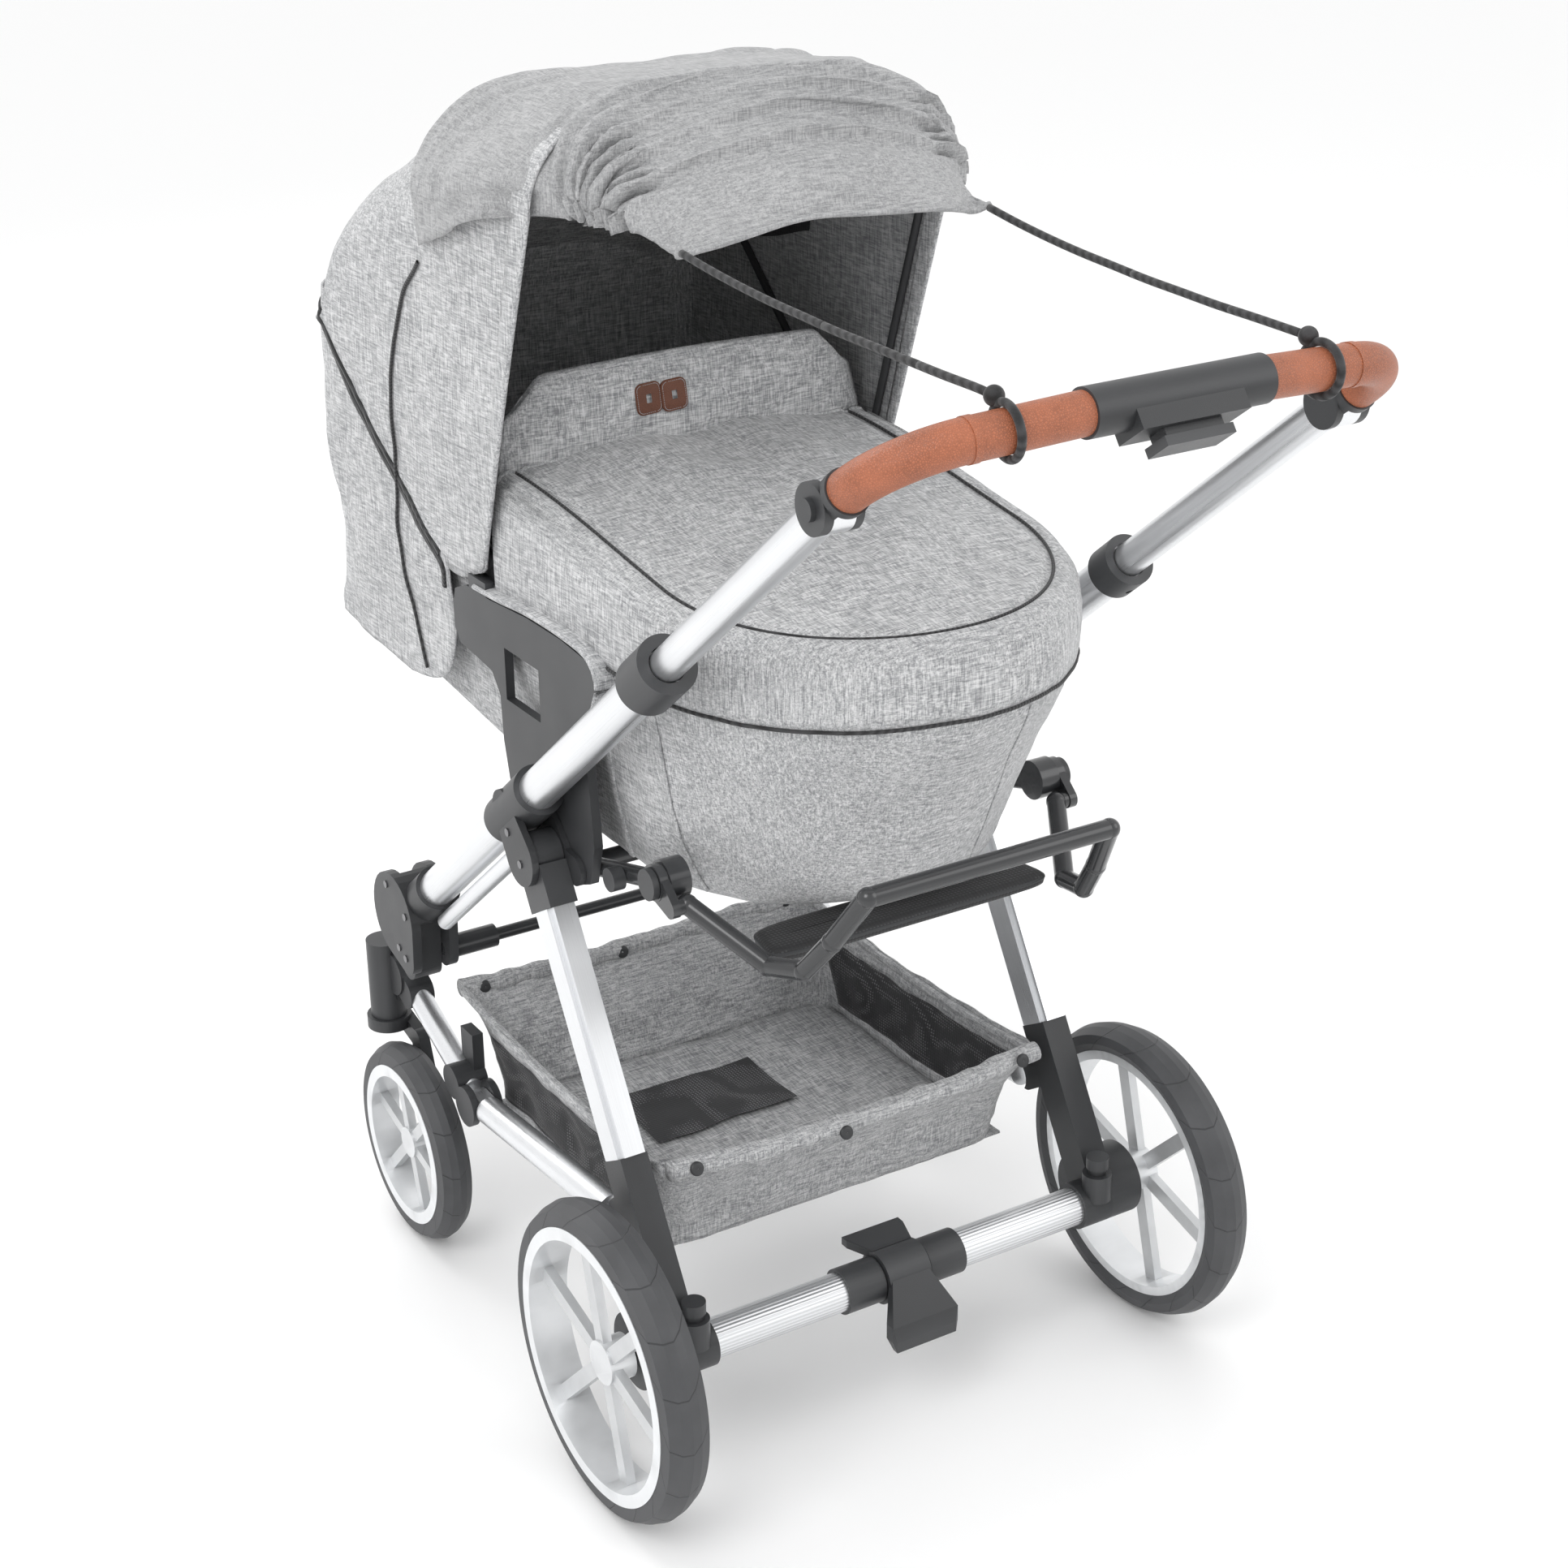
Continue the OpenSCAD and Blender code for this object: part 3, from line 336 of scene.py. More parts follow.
@dataclass(frozen=True)
class Tread(Finish):
    """Tyre rubber with thin curved grooves round the wheel."""

    centre: Pair = (0.1547, 0.136)
    radius: float = 0.136
    count: int = 9
    colour: Triple = (0.05, 0.051, 0.054)

    def graph(self, g: Graph) -> None:
        """Grooves are found from the angle about the axle and the height on the tyre."""
        xyz = g.put("ShaderNodeSeparateXYZ", {0: g.coord.outputs["Object"]})
        dy = g.math("SUBTRACT", xyz.outputs[1], self.centre[0])
        dz = g.math("SUBTRACT", xyz.outputs[2], self.centre[1])
        angle = g.math("ARCTAN2", dz, dy)
        reach = g.math("SQRT", g.math("ADD", g.math("MULTIPLY", dy, dy), g.math("MULTIPLY", dz, dz)))
        turn = g.math(
            "ADD", g.math("MULTIPLY", angle, float(self.count)),
            g.math("MULTIPLY", g.math("SUBTRACT", reach, self.radius), 120.0)
        )
        wave = g.math(
            "ABSOLUTE", g.math("SINE", g.math("ADD", turn, g.math("MULTIPLY", xyz.outputs[0], 25.0)))
        )
        groove = g.math("MULTIPLY", wave, 16.0, clamp=True)
        patch = g.grain((24, 24, 24), 4.0)
        # The grooves darken the colour as well as the bump: painted shade in the tread's recesses.
        value = g.math(
            "MULTIPLY", g.math("ADD", g.math("MULTIPLY", patch, 0.7), 0.3),
            g.math("ADD", g.math("MULTIPLY", groove, 0.5), 0.5)
        )
        g.set(
            Base_Color=g.ramp(
                value, [(0.2, [c * 0.6 for c in self.colour]), (0.8, [c * 1.5 for c in self.colour])]
            ),
            Roughness=g.math("ADD", g.math("MULTIPLY", patch, 0.2), 0.42),
            Specular_IOR_Level=0.4,
            Normal=g.bump(groove, 0.0008, 0.8, g.bump(g.grain((1400, 1400, 1400), 2.0), 0.0001, 0.6)),
        )


@dataclass(frozen=True)
class RibbedTube(Finish):
    """Satin aluminium tube with fine ribs along its length."""

    centre: Pair = (0.1682, 0.1313)
    ribs: int = 34
    colour: Triple = (0.80, 0.81, 0.825)

    def graph(self, g: Graph) -> None:
        """Ribs are found from the angle about the tube's axis."""
        xyz = g.put("ShaderNodeSeparateXYZ", {0: g.coord.outputs["Object"]})
        angle = g.math(
            "ARCTAN2", g.math("SUBTRACT", xyz.outputs[2], self.centre[1]),
            g.math("SUBTRACT", xyz.outputs[1], self.centre[0])
        )
        rib = g.math("SINE", g.math("MULTIPLY", angle, float(self.ribs)))
        lines = g.grain((4, 1500, 1500), 2.0)
        # The ribs darken the colour in their valleys as well as the bump: painted shade between the ribs.
        g.set(
            Base_Color=g.ramp(
                g.math("ADD", g.math("MULTIPLY", rib, 0.25), 0.55),
                [(0.2, [c * 0.8 for c in self.colour]), (0.8, list(self.colour))]
            ),
            Roughness=g.math("ADD", g.math("MULTIPLY", lines, 0.14), 0.24),
            Metallic=0.92,
            Normal=g.bump(rib, 0.0004, 0.45),
        )


@dataclass(frozen=True)
class Leather(Finish):
    """Grained brown leatherette."""

    colour: Triple = (0.37, 0.118, 0.056)
    grain: float = 620.0
    rough: float = 0.42

    def graph(self, g: Graph) -> None:
        """Pebbled cells, with the creases darkened as painted shade."""
        cell = g.put(
            "ShaderNodeTexVoronoi", {"Vector": g.coord.outputs["Object"], "Scale": self.grain},
            feature="DISTANCE_TO_EDGE"
        )
        # Distance to the cell edge: the creases get a darker colour, as painted shade in the grain's
        # recesses.
        edge = g.math("MULTIPLY", cell.outputs["Distance"], 3.2, clamp=True)
        patch = g.grain((38, 38, 38), 3.0)
        value = g.math("ADD", g.math("MULTIPLY", edge, 0.45), g.math("MULTIPLY", patch, 0.55))
        c = self.colour
        stops = [(0.15, [x * 0.55 for x in c]), (0.5, list(c)), (0.9, [min(x * 1.28, 1) for x in c])]
        g.set(
            Base_Color=g.ramp(value, stops),
            Roughness=g.math("ADD", g.math("MULTIPLY", patch, 0.14), self.rough - 0.07),
            Normal=g.bump(edge, 0.0003, 0.6),
        )


@dataclass(frozen=True)
class Netting(Finish):
    """Knitted net: dark threads with a grid of small holes."""

    thread: Triple = (0.02, 0.02, 0.022)
    hole: Triple = (0.16, 0.16, 0.165)
    pitch: float = 330.0

    def graph(self, g: Graph) -> None:
        """Holes sit on an even grid along the two axes in the surface."""
        cell = g.put(
            "ShaderNodeTexVoronoi",
            {"Vector": g.coord.outputs["Object"], "Scale": self.pitch, "Randomness": 0.12}, feature="F1"
        )
        dot = g.math("LESS_THAN", cell.outputs["Distance"], 0.3)
        patch = g.grain((40, 40, 40), 2.0)
        mix = g.math("MULTIPLY", dot, g.math("ADD", patch, 0.3), clamp=True)
        g.set(
            Base_Color=g.ramp(mix, [(0.0, self.thread), (1.0, self.hole)]),
            Roughness=0.7,
            Sheen_Weight=0.1,
            Normal=g.bump(cell.outputs["Distance"], 0.0008, 0.7),
        )


@dataclass(frozen=True)
class Braid(Finish):
    """Black braided cord or webbing."""

    colour: Triple = (0.018, 0.018, 0.019)
    pitch: float = 420.0

    def graph(self, g: Graph) -> None:
        """Crossing strands."""
        a = g.put(
            "ShaderNodeTexWave",
            {"Vector": g.coord.outputs["Object"], "Scale": self.pitch / 6, "Distortion": 1.5},
            bands_direction="DIAGONAL"
        )
        b = g.grain((self.pitch * 2,) * 3, 2.0)
        v = g.math("ADD", g.math("MULTIPLY", a.outputs["Fac"], 0.6), g.math("MULTIPLY", b, 0.4))
        c = self.colour
        g.set(
            Base_Color=g.ramp(v, [(0.2, [x * 0.5 for x in c]), (0.8, [x * 2.2 for x in c])]),
            Roughness=0.75,
            Sheen_Weight=0.15,
            Normal=g.bump(v, 0.0008, 0.8),
        )


@dataclass(frozen=True)
class Plaster(Finish):
    """Plain pale studio floor."""

    colour: Triple = (0.93, 0.93, 0.93)

    def graph(self, g: Graph) -> None:
        """Smooth, with a faint soft gloss."""
        g.set(Base_Color=(*self.colour, 1), Roughness=0.32, Specular_IOR_Level=0.18)


TUBE_SLOPE = math.radians(39.2)
LEG_SLOPE = math.atan2(0.3637, 0.2135)
CLOTH = Melange("grey_melange")
# The lining is the grey cloth darkened to 0.8: painted shade for the inside of the hood and along the foot
# seam.
CLOTH_SHADED = Melange("grey_melange_lining_painted_shade", shade=0.8)
SAIL_CLOTH = Melange(
    "sail_melange", mid=(0.35, 0.353, 0.358), dark=(0.25, 0.252, 0.257), light=(0.46, 0.46, 0.465)
)
BASKET_CLOTH = Melange("basket_melange", shade=0.9)
PIPING = Braid("black_piping", pitch=900.0)
CORD = Braid("black_braid")
PLASTIC = Moulded("black_grained_plastic")
PLASTIC_SOFT = Moulded("black_soft_plastic", rough=0.55, grain=1200.0, depth=0.0002)
BLACK_TUBE = Moulded("black_lacquered_tube", rough=0.22, depth=0.00004, coat=0.3)
SCREW = Moulded("dark_screw_steel", colour=(0.16, 0.16, 0.165), rough=0.3, metal=1.0)
MAIN_METAL = Anodised("satin_tube_sloped", along=1, tilt=TUBE_SLOPE)
LEG_METAL = Anodised("satin_leg", along=2, tilt=math.pi / 2 - LEG_SLOPE)
CROSS_METAL = RibbedTube("ribbed_axle_tube")
RIM_PAINT = Moulded("silver_rim_paint", colour=(0.62, 0.63, 0.64), rough=0.34, metal=0.55, depth=0.00005)
TYRE = Tread("rear_tyre_rubber")
FRONT_TYRE = Tread("front_tyre_rubber", centre=(-0.3053, 0.097), radius=0.097, count=7)
LEATHER = Leather("tan_leather")
PATCH_LEATHER = Leather("dark_tan_leather", colour=(0.15, 0.052, 0.026), grain=900.0, rough=0.5)
NET = Netting("black_net")
PAD_NET = Netting("pad_net", thread=(0.014, 0.014, 0.015), hole=(0.05, 0.05, 0.052), pitch=300.0)
LINING = Melange("pale_lining", dark=(0.5, 0.5, 0.5), mid=(0.72, 0.72, 0.71), light=(0.86, 0.86, 0.85))
THREAD = Moulded("grey_thread", colour=(0.3, 0.3, 0.31), rough=0.7)
FLOOR = Plaster("pale_floor")


# ---------------------------------------------------------------- mesh helpers


def to_object(
    name: str, verts: Sequence, faces: Sequence, finish: Finish, weld: float = 0.0
) -> bpy.types.Object:
    """Makes a smooth mesh object.

    Args:
        name: the object's name.
        verts: points in the row frame.
        faces: index tuples.
        finish: the surface finish.
        weld: points nearer than this are merged.

    Returns:
        The new object, linked to the scene.
    """
    mesh = bpy.data.meshes.new(name)
    mesh.from_pydata([tuple(v) for v in verts], [], [tuple(f) for f in faces])
    bm = bmesh.new()
    bm.from_mesh(mesh)
    if weld > 0:
        bmesh.ops.remove_doubles(bm, verts=bm.verts, dist=weld)
        bmesh.ops.dissolve_degenerate(bm, edges=bm.edges, dist=1e-6)
    bmesh.ops.recalc_face_normals(bm, faces=bm.faces)
    for f in bm.faces:
        f.smooth = True
    bm.to_mesh(mesh)
    bm.free()
    mesh.materials.append(finish.material())
    obj = bpy.data.objects.new(name, mesh)
    bpy.context.scene.collection.objects.link(obj)
    return obj


def grid(
    name: str, rows: Sequence[Sequence], finish: Finish, loop_u: bool = False, loop_v: bool = False,
    weld: float = 1e-5
) -> bpy.types.Object:
    """Makes a surface from rows of points.

    Args:
        name: the object's name.
        rows: rows of equally many points.
        finish: the surface finish.
        loop_u: joins the last row to the first.
        loop_v: joins each row's last point to its first.
        weld: points nearer than this are merged.

    Returns:
        The new object.
    """
    n, m = len(rows), len(rows[0])
    verts = [p for row in rows for p in row]
    faces = []
    for i in range(n if loop_u else n - 1):
        for j in range(m if loop_v else m - 1):
            a, b = i * m + j, i * m + (j + 1) % m
            c, d = ((i + 1) % n) * m + (j + 1) % m, ((i + 1) % n) * m + j
            faces.append((a, b, c, d))
    return to_object(name, verts, faces, finish, weld)


def bake(obj: bpy.types.Object) -> bpy.types.Object:
    """Applies the object's modifiers to its mesh."""
    bpy.context.view_layer.update()
    graph = bpy.context.evaluated_depsgraph_get()
    mesh = bpy.data.meshes.new_from_object(obj.evaluated_get(graph))
    old = obj.data
    obj.modifiers.clear()
    obj.data = mesh
    bpy.data.meshes.remove(old)
    return obj


def thicken(obj: bpy.types.Object, thickness: float, offset: float = -1.0) -> bpy.types.Object:
    """Gives a sheet its thickness."""
    mod = obj.modifiers.new("thick", "SOLIDIFY")
    mod.thickness = thickness
    mod.offset = offset
    return bake(obj)


def hose(
    name: str, path: Sequence, radius: float | Callable[[float], float], finish: Finish, sides: int = 10,
    closed: bool = False, flat: float = 1.0, up: Triple = (0, 0, 1)
) -> bpy.types.Object:
    """Makes a round or flat strand along a path.

    Args:
        name: the object's name.
        path: points in the row frame.
        radius: radius, or a function of the share of the path.
        finish: the surface finish.
        sides: points around the strand.
        closed: whether the path is a loop.
        flat: thickness across the up direction, as a share of the radius.
        up: the direction that the flat side faces.

    Returns:
        The new object.
    """
    p = [Vector(q) for q in path]
    n = len(p)
    rows = []
    ref = Vector(up)
    for i in range(n):
        a = p[(i - 1) % n] if closed else p[max(i - 1, 0)]
        b = p[(i + 1) % n] if closed else p[min(i + 1, n - 1)]
        way = (b - a).normalized()
        side = ref.cross(way)
        if side.length < 1e-4:
            side = Vector((1, 0, 0)).cross(way)
        side.normalize()
        top = way.cross(side)
        r = radius(i / max(n - 1, 1)) if callable(radius) else radius
        rows.append(
            [
                p[i] + side * (r * math.cos(t)) + top * (r * flat * math.sin(t))
                for t in np.linspace(0, 2 * math.pi, sides, endpoint=False)
            ]
        )
    verts = [v for row in rows for v in row]
    faces = []
    for i in range(n if closed else n - 1):
        for j in range(sides):
            k, l = (i + 1) % n, (j + 1) % sides
            faces.append((i * sides + j, i * sides + l, k * sides + l, k * sides + j))
    if not closed:
        faces += [tuple(range(sides)), tuple((n - 1) * sides + j for j in range(sides))]
    return to_object(name, verts, faces, finish)


def join(name: str, parts: Sequence[bpy.types.Object]) -> bpy.types.Object:
    """Joins objects into one, keeping their materials."""
    mats: list[bpy.types.Material] = []
    bm = bmesh.new()
    for o in parts:
        start = len(bm.faces)
        bm.from_mesh(o.data)
        bm.faces.ensure_lookup_table()
        if o.data.materials[0] not in mats:
            mats.append(o.data.materials[0])
        for f in bm.faces[start:]:
            f.material_index = mats.index(o.data.materials[0])
    mesh = bpy.data.meshes.new(name)
    bm.to_mesh(mesh)
    bm.free()
    for m in mats:
        mesh.materials.append(m)
    for o in parts:
        bpy.data.objects.remove(o)
    obj = bpy.data.objects.new(name, mesh)
    bpy.context.scene.collection.objects.link(obj)
    return obj


def crumple(p: Vector, scale: float, amount: float, seed: float = 0.0) -> float:
    """Soft creases at a point, from the place alone."""
    q = Vector((p.x * scale + seed, p.y * scale, p.z * scale - seed))
    return (noise.noise(q) + 0.5 * noise.noise(q * 2.3)) * amount


def tree_of(objects: Sequence[bpy.types.Object]) -> BVHTree:
    """A tree of all faces of some objects, for placing trims on them."""
    verts: list[Vector] = []
    faces: list[tuple[int, ...]] = []
    for o in objects:
        base = len(verts)
        verts += [v.co.copy() for v in o.data.vertices]
        faces += [tuple(base + i for i in p.vertices) for p in o.data.polygons]
    return BVHTree.FromPolygons(verts, faces)


def laid(tree: BVHTree, points: Sequence[Vector], way: Vector, lift: float) -> list[Vector]:
    """Moves points along a direction until they lie on a surface.

    Args:
        tree: the surface.
        points: where to start, outside the surface.
        way: direction to move in.
        lift: height to stay above the surface.

    Returns:
        The points that met the surface, raised along its normal.
    """
    out = []
    for p in points:
        hit, normal, _, _ = tree.ray_cast(p, way)
        if hit is not None:
            out.append(hit + (normal if normal.dot(way) < 0 else -normal) * lift)
    return out


def tape(
    name: str, line: Sequence[Vector], width: float, thickness: float, out: Vector, finish: Finish
) -> bpy.types.Object:
    """A flat tape along a line, which faces the given way.

    Args:
        name: the object's name.
        line: its centre line.
        width: full width.
        thickness: full thickness.
        out: the way that its face looks.
        finish: the surface finish.

    Returns:
        The new object.
    """
    rows = []
    n = len(line)
    for i, p in enumerate(line):
        along = (line[min(i + 1, n - 1)] - line[max(i - 1, 0)]).normalized()
        side = out.cross(along).normalized()
        up = along.cross(side)
        w, t = width / 2, thickness / 2
        rows.append(
            [
                p + side * a * w + up * b * t for a,
                b in (
                    (-1, 0), (-0.86, 0.8), (-0.4, 1), (0.4, 1), (0.86, 0.8), (1, 0), (0.86, -0.8),
                    (-0.86, -0.8)
                )
            ]
        )
    return grid(name, rows, finish, loop_v=True)


def dome(
    name: str, centre: Vector, normal: Vector, radius: float, height: float, finish: Finish, sides: int = 20
) -> bpy.types.Object:
    """A low rounded button such as a press stud or a screw head."""
    n = normal.normalized()
    side = n.orthogonal().normalized()
    top = n.cross(side)
    rows = []
    for k, (r, h) in enumerate(
        [(1.0, 0.0), (1.0, 0.35), (0.93, 0.62), (0.75, 0.85), (0.45, 0.97), (0.2, 0.86), (0.04, 0.84)]
    ):
        rows.append(
            [
                centre + side * (radius * r * math.cos(t)) + top * (radius * r * math.sin(t))
                + n * (height * h) for t in np.linspace(0, 2 * math.pi, sides, endpoint=False)
            ]
        )
    return grid(name, rows, finish, loop_v=True)


def plaque(
    name: str, centre: Vector, up: Vector, out: Vector, height: float, width: float, thick: float,
    corner: float
) -> bpy.types.Object:
    """A small stitched leather piece with rounded corners.

    Args:
        name: the object's name.
        centre: its middle.
        up: its long direction.
        out: the way that its face looks.
        height: size along up.
        width: size across.
        thick: full thickness.
        corner: corner radius.

    Returns:
        The leather piece with its stitches, as one object.
    """
    side = up.cross(out).normalized()
    up = out.cross(side).normalized()
    def outline(inset: float) -> list[Pair]:
        w, h, c = width / 2 - inset, height / 2 - inset, max(corner - inset, 0.0004)
        pts = []
        for k, (sx, sy) in enumerate(((1, 1), (-1, 1), (-1, -1), (1, -1))):
            for a in np.linspace(0, math.pi / 2, 7):
                b = a + k * math.pi / 2
                pts.append((sx * (w - c) + c * math.cos(b), sy * (h - c) + c * math.sin(b)))
        return pts
    rows = []
    for inset, level in (
        (0.0, -0.5), (0.0, 0.2), (0.0004, 0.45), (0.0010, 0.5), (0.0016, 0.42), (0.0022, 0.5),
        (min(width, height) * 0.4, 0.5)
    ):
        rows.append([centre + side * a + up * b + out * (thick * level) for a, b in outline(inset)])
    body = grid(name, rows, PATCH_LEATHER, loop_v=True)
    dots = outline(0.0016)
    stitches = []
    for i, (a, b) in enumerate(dots):
        c, d = dots[(i + 1) % len(dots)]
        span = math.hypot(c - a, d - b)
        for t in np.arange(0.0007, max(span - 0.0005, 0.0008), 0.0019):
            q = centre + side * (
                a + (c - a) * t / span
            ) + up * (b + (d - b) * t / span) + out * (thick * 0.48)
            way = (side * (c - a) + up * (d - b)).normalized() * 0.00055
            stitches.append(hose("stitch", [q - way, q + way], 0.00022, THREAD, 5))
    return join(name, [body, *stitches])


# ---------------------------------------------------------------- soft goods


@dataclass
class HoodFold:
    """Where cloth would start and stop turning with the front bow; blend does not use these points."""

    start: Vector = field(default_factory=lambda: at(0, -0.7905, 0.7))
    end: Vector = field(default_factory=lambda: at(0, -0.540, 0.629))

    def blend(self, obj: bpy.types.Object) -> None:
        """Applies a piece's transform to its mesh."""
        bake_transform(obj)


@dataclass
class Hood:
    """Carrycot hood: one fabric shell with hem, seams, window and rear panel."""

    half: float = 0.1945
    corner: float = 0.070
    thickness: float = 0.0022
    top: tuple[Pair, ...] = (
        (-0.2015, 1.0865), (-0.27, 1.0870), (-0.325, 1.0805), (-0.38, 1.0665), (-0.43, 1.0475),
        (-0.48, 1.0235), (-0.53, 0.9975), (-0.575, 0.969), (-0.61, 0.934), (-0.636, 0.889), (-0.648, 0.862)
    )
    base: tuple[Pair, ...] = (
        (-0.311, 0.716), (-0.318, 0.703), (-0.338, 0.694), (-0.368, 0.684), (-0.402, 0.690),
        (-0.441, 0.713), (-0.481, 0.737), (-0.567, 0.800), (-0.624, 0.858)
    )
    rear: tuple[Pair, ...] = (
        (-0.640, 0.886), (-0.651, 0.84), (-0.655, 0.79), (-0.652, 0.73), (-0.643, 0.68), (-0.636, 0.645),
        (-0.650, 0.61), (-0.668, 0.585), (-0.668, 0.566)
    )
    rear_base: tuple[Pair, ...] = (
        (-0.60, 0.862), (-0.54, 0.80), (-0.47, 0.745), (-0.40, 0.70), (-0.39, 0.66), (-0.39, 0.62),
        (-0.40, 0.59), (-0.43, 0.570), (-0.484, 0.560)
    )

    def ribs(
        self, top: np.ndarray, base: np.ndarray, corner: Callable[[float], float], crown: float,
        half: Callable[[float], float], puff: float, lift: float = 0.0
    ) -> list[list[Vector]]:
        """Rows of points from one side's base over the top to the other side.

        Args:
            top: outer line over the middle, seen from the side.
            base: lower line on the side.
            corner: corner radius by share of the line.
            crown: how much the middle stands above the corners.
            half: half width by share of the line.
            puff: how much the side swells outwards.
            lift: extra distance off the shell.

        Returns:
            The rows.
        """
        n = len(top)
        rows = []
        for i in range(n):
            s = i / (n - 1)
            t = top[min(i + 1, n - 1)] - top[max(i - 1, 0)]
            t = t / np.linalg.norm(t)
            out = np.array([t[1], -t[0]])
            if out @ (top[i] - np.array([-0.36, 0.75])) < 0:
                out = -out
            rho = corner(s)
            w = half(s)
            c = top[i] - rho * out
            side = []
            for k in np.linspace(0, 1, 22):
                q = base[i] + (c - base[i]) * k
                x = w + lift + puff * math.sin(math.pi * min(k * 1.02, 1)) * (0.4 + 0.6 * s)
                side.append((x, q[0], q[1]))
            for a in np.linspace(0, math.pi / 2, 14)[1:]:
                q = c + out * ((rho + lift) * math.sin(a))
                side.append((w - rho + (rho + lift) * math.cos(a), q[0], q[1]))
            for k in np.linspace(0, 1, 12)[1:]:
                x = (w - rho) * (1 - k)
                q = c + out * (rho + lift + crown * (1 - (x / (w - rho)) ** 2))
                side.append((x, q[0], q[1]))
            row = [at(*p) for p in side]
            row += [Vector((-p.x, p.y, p.z)) for p in reversed(row[:-1])]
            rows.append(row)
        return rows

    def shell_rows(self, lift: float = 0.0) -> list[list[Vector]]:
        """The folding part, from the front hem to the back."""
        return self.ribs(
            flow(self.top, 60), flow(self.base, 60), lambda s: self.corner - 0.042 * smooth(0.55, 1.0, s),
            0.005, lambda s: self.half, 0.003, lift
        )

    def shell(self) -> bpy.types.Object:
        """The folding part of the hood."""
        rows = self.shell_rows()
        mid = len(rows[0]) // 2
        for i, row in enumerate(rows):
            s = i / (len(rows) - 1)
            for j, p in enumerate(row):
                side = abs(j - mid) / mid
                calm = smooth(0.0, 0.08, s)
                p += Vector(
                    (math.copysign(1, p.x) if side > 0.55 else 0.0, 0, 0.0 if side > 0.55 else 1.0)
                ) * (crumple(p, 9, 0.0035) + crumple(p, 26, 0.0013)) * calm
        obj = thicken(grid("hood_cover", rows, CLOTH), self.thickness)
        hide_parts("hood_fabric")
        return obj

    def hem(self) -> bpy.types.Object:
        """The turned front edge: a flat stitched band."""
        rows = self.shell_rows(0.0016)[0:4]
        band = [[p + (rows[0][j] - rows[3][j]).normalized() * 0.0012 for j, p in enumerate(r)] for r in rows]
        return thicken(grid("hood_hem", band, CLOTH), 0.0016)

    def edge(self) -> bpy.types.Object:
        """The rounded fold of the front edge."""
        row = self.shell_rows(0.0003)[0]
        return hose("hood_front_edge", row, 0.0023, CLOTH, 8)

    def lining(self) -> bpy.types.Object:
        """The inside of the hood, in the grey cloth darkened as painted shade."""
        rows = self.shell_rows(-0.0042)[2:]
        mid = len(rows[0]) // 2
        for row in rows:
            for j, p in enumerate(row):
                p += Vector((0, 0, -1)) * abs(crumple(p, 14, 0.004)) * (1 - abs(j - mid) / mid)
        return grid("hood_lining", rows, CLOTH_SHADED)

    def window(self) -> bpy.types.Object:
        """The netted vent in the lining, with gathered vertical folds."""
        rows = self.shell_rows(-0.0062)[26:45]
        pick = []
        for row in rows:
            line = []
            for j in range(16, len(row) - 16):
                p = row[j].copy()
                p += Vector((0, 0, -1)) * (0.0025 * math.sin(j * 2.4) if 24 < j < len(row) - 24 else 0.0)
                line.append(p)
            pick.append(line)
        return grid("hood_window_net", pick, NET)

    def rear_panel(self) -> bpy.types.Object:
        """The lower back of the hood, which stays with the carrycot."""
        def half(s: float) -> float:
            return 0.1945 - 0.004 * smooth(0.35, 1.0, s)
        rows = self.ribs(flow(self.rear, 40), flow(self.rear_base, 40), lambda s: 0.024, 0.0, half, 0.002)
        for i, row in enumerate(rows):
            s = i / (len(rows) - 1)
            for j, p in enumerate(row):
                p += Vector((math.copysign(1, p.x) * 0.6, -0.5, 0)) * (
                    crumple(p, 11, 0.007, 3.0) + crumple(p, 30, 0.0018)
                ) * smooth(0.05, 0.3, s)
        obj = thicken(grid("hood_rear_panel", rows, CLOTH), self.thickness)
        return obj

    def side_line(
        self, name: str, points: Sequence[Pair], width: float, thick: float, side: int, tree: BVHTree,
        lift: float
    ) -> bpy.types.Object:
        """A tape laid on the side of the hood along points given from the side.

        Args:
            name: the object's name.
            points: y and z of the line.
            width: full width of the tape.
            thick: full thickness of the tape.
            side: 1 for the left side, -1 for the right.
            tree: the cloth that it lies on.
            lift: height of its middle above the cloth.

        Returns:
            The tape.
        """
        start = [at(side * 0.4, y, z) for y, z in flow(points, 90)]
        line = laid(tree, start, Vector((-side, 0, 0)), lift)
        line = [(line[max(i - 1, 0)] + p + line[min(i + 1, len(line) - 1)]) / 3 for i, p in enumerate(line)]
        return tape(name, line, width, thick, Vector((side, 0, 0)), PIPING)

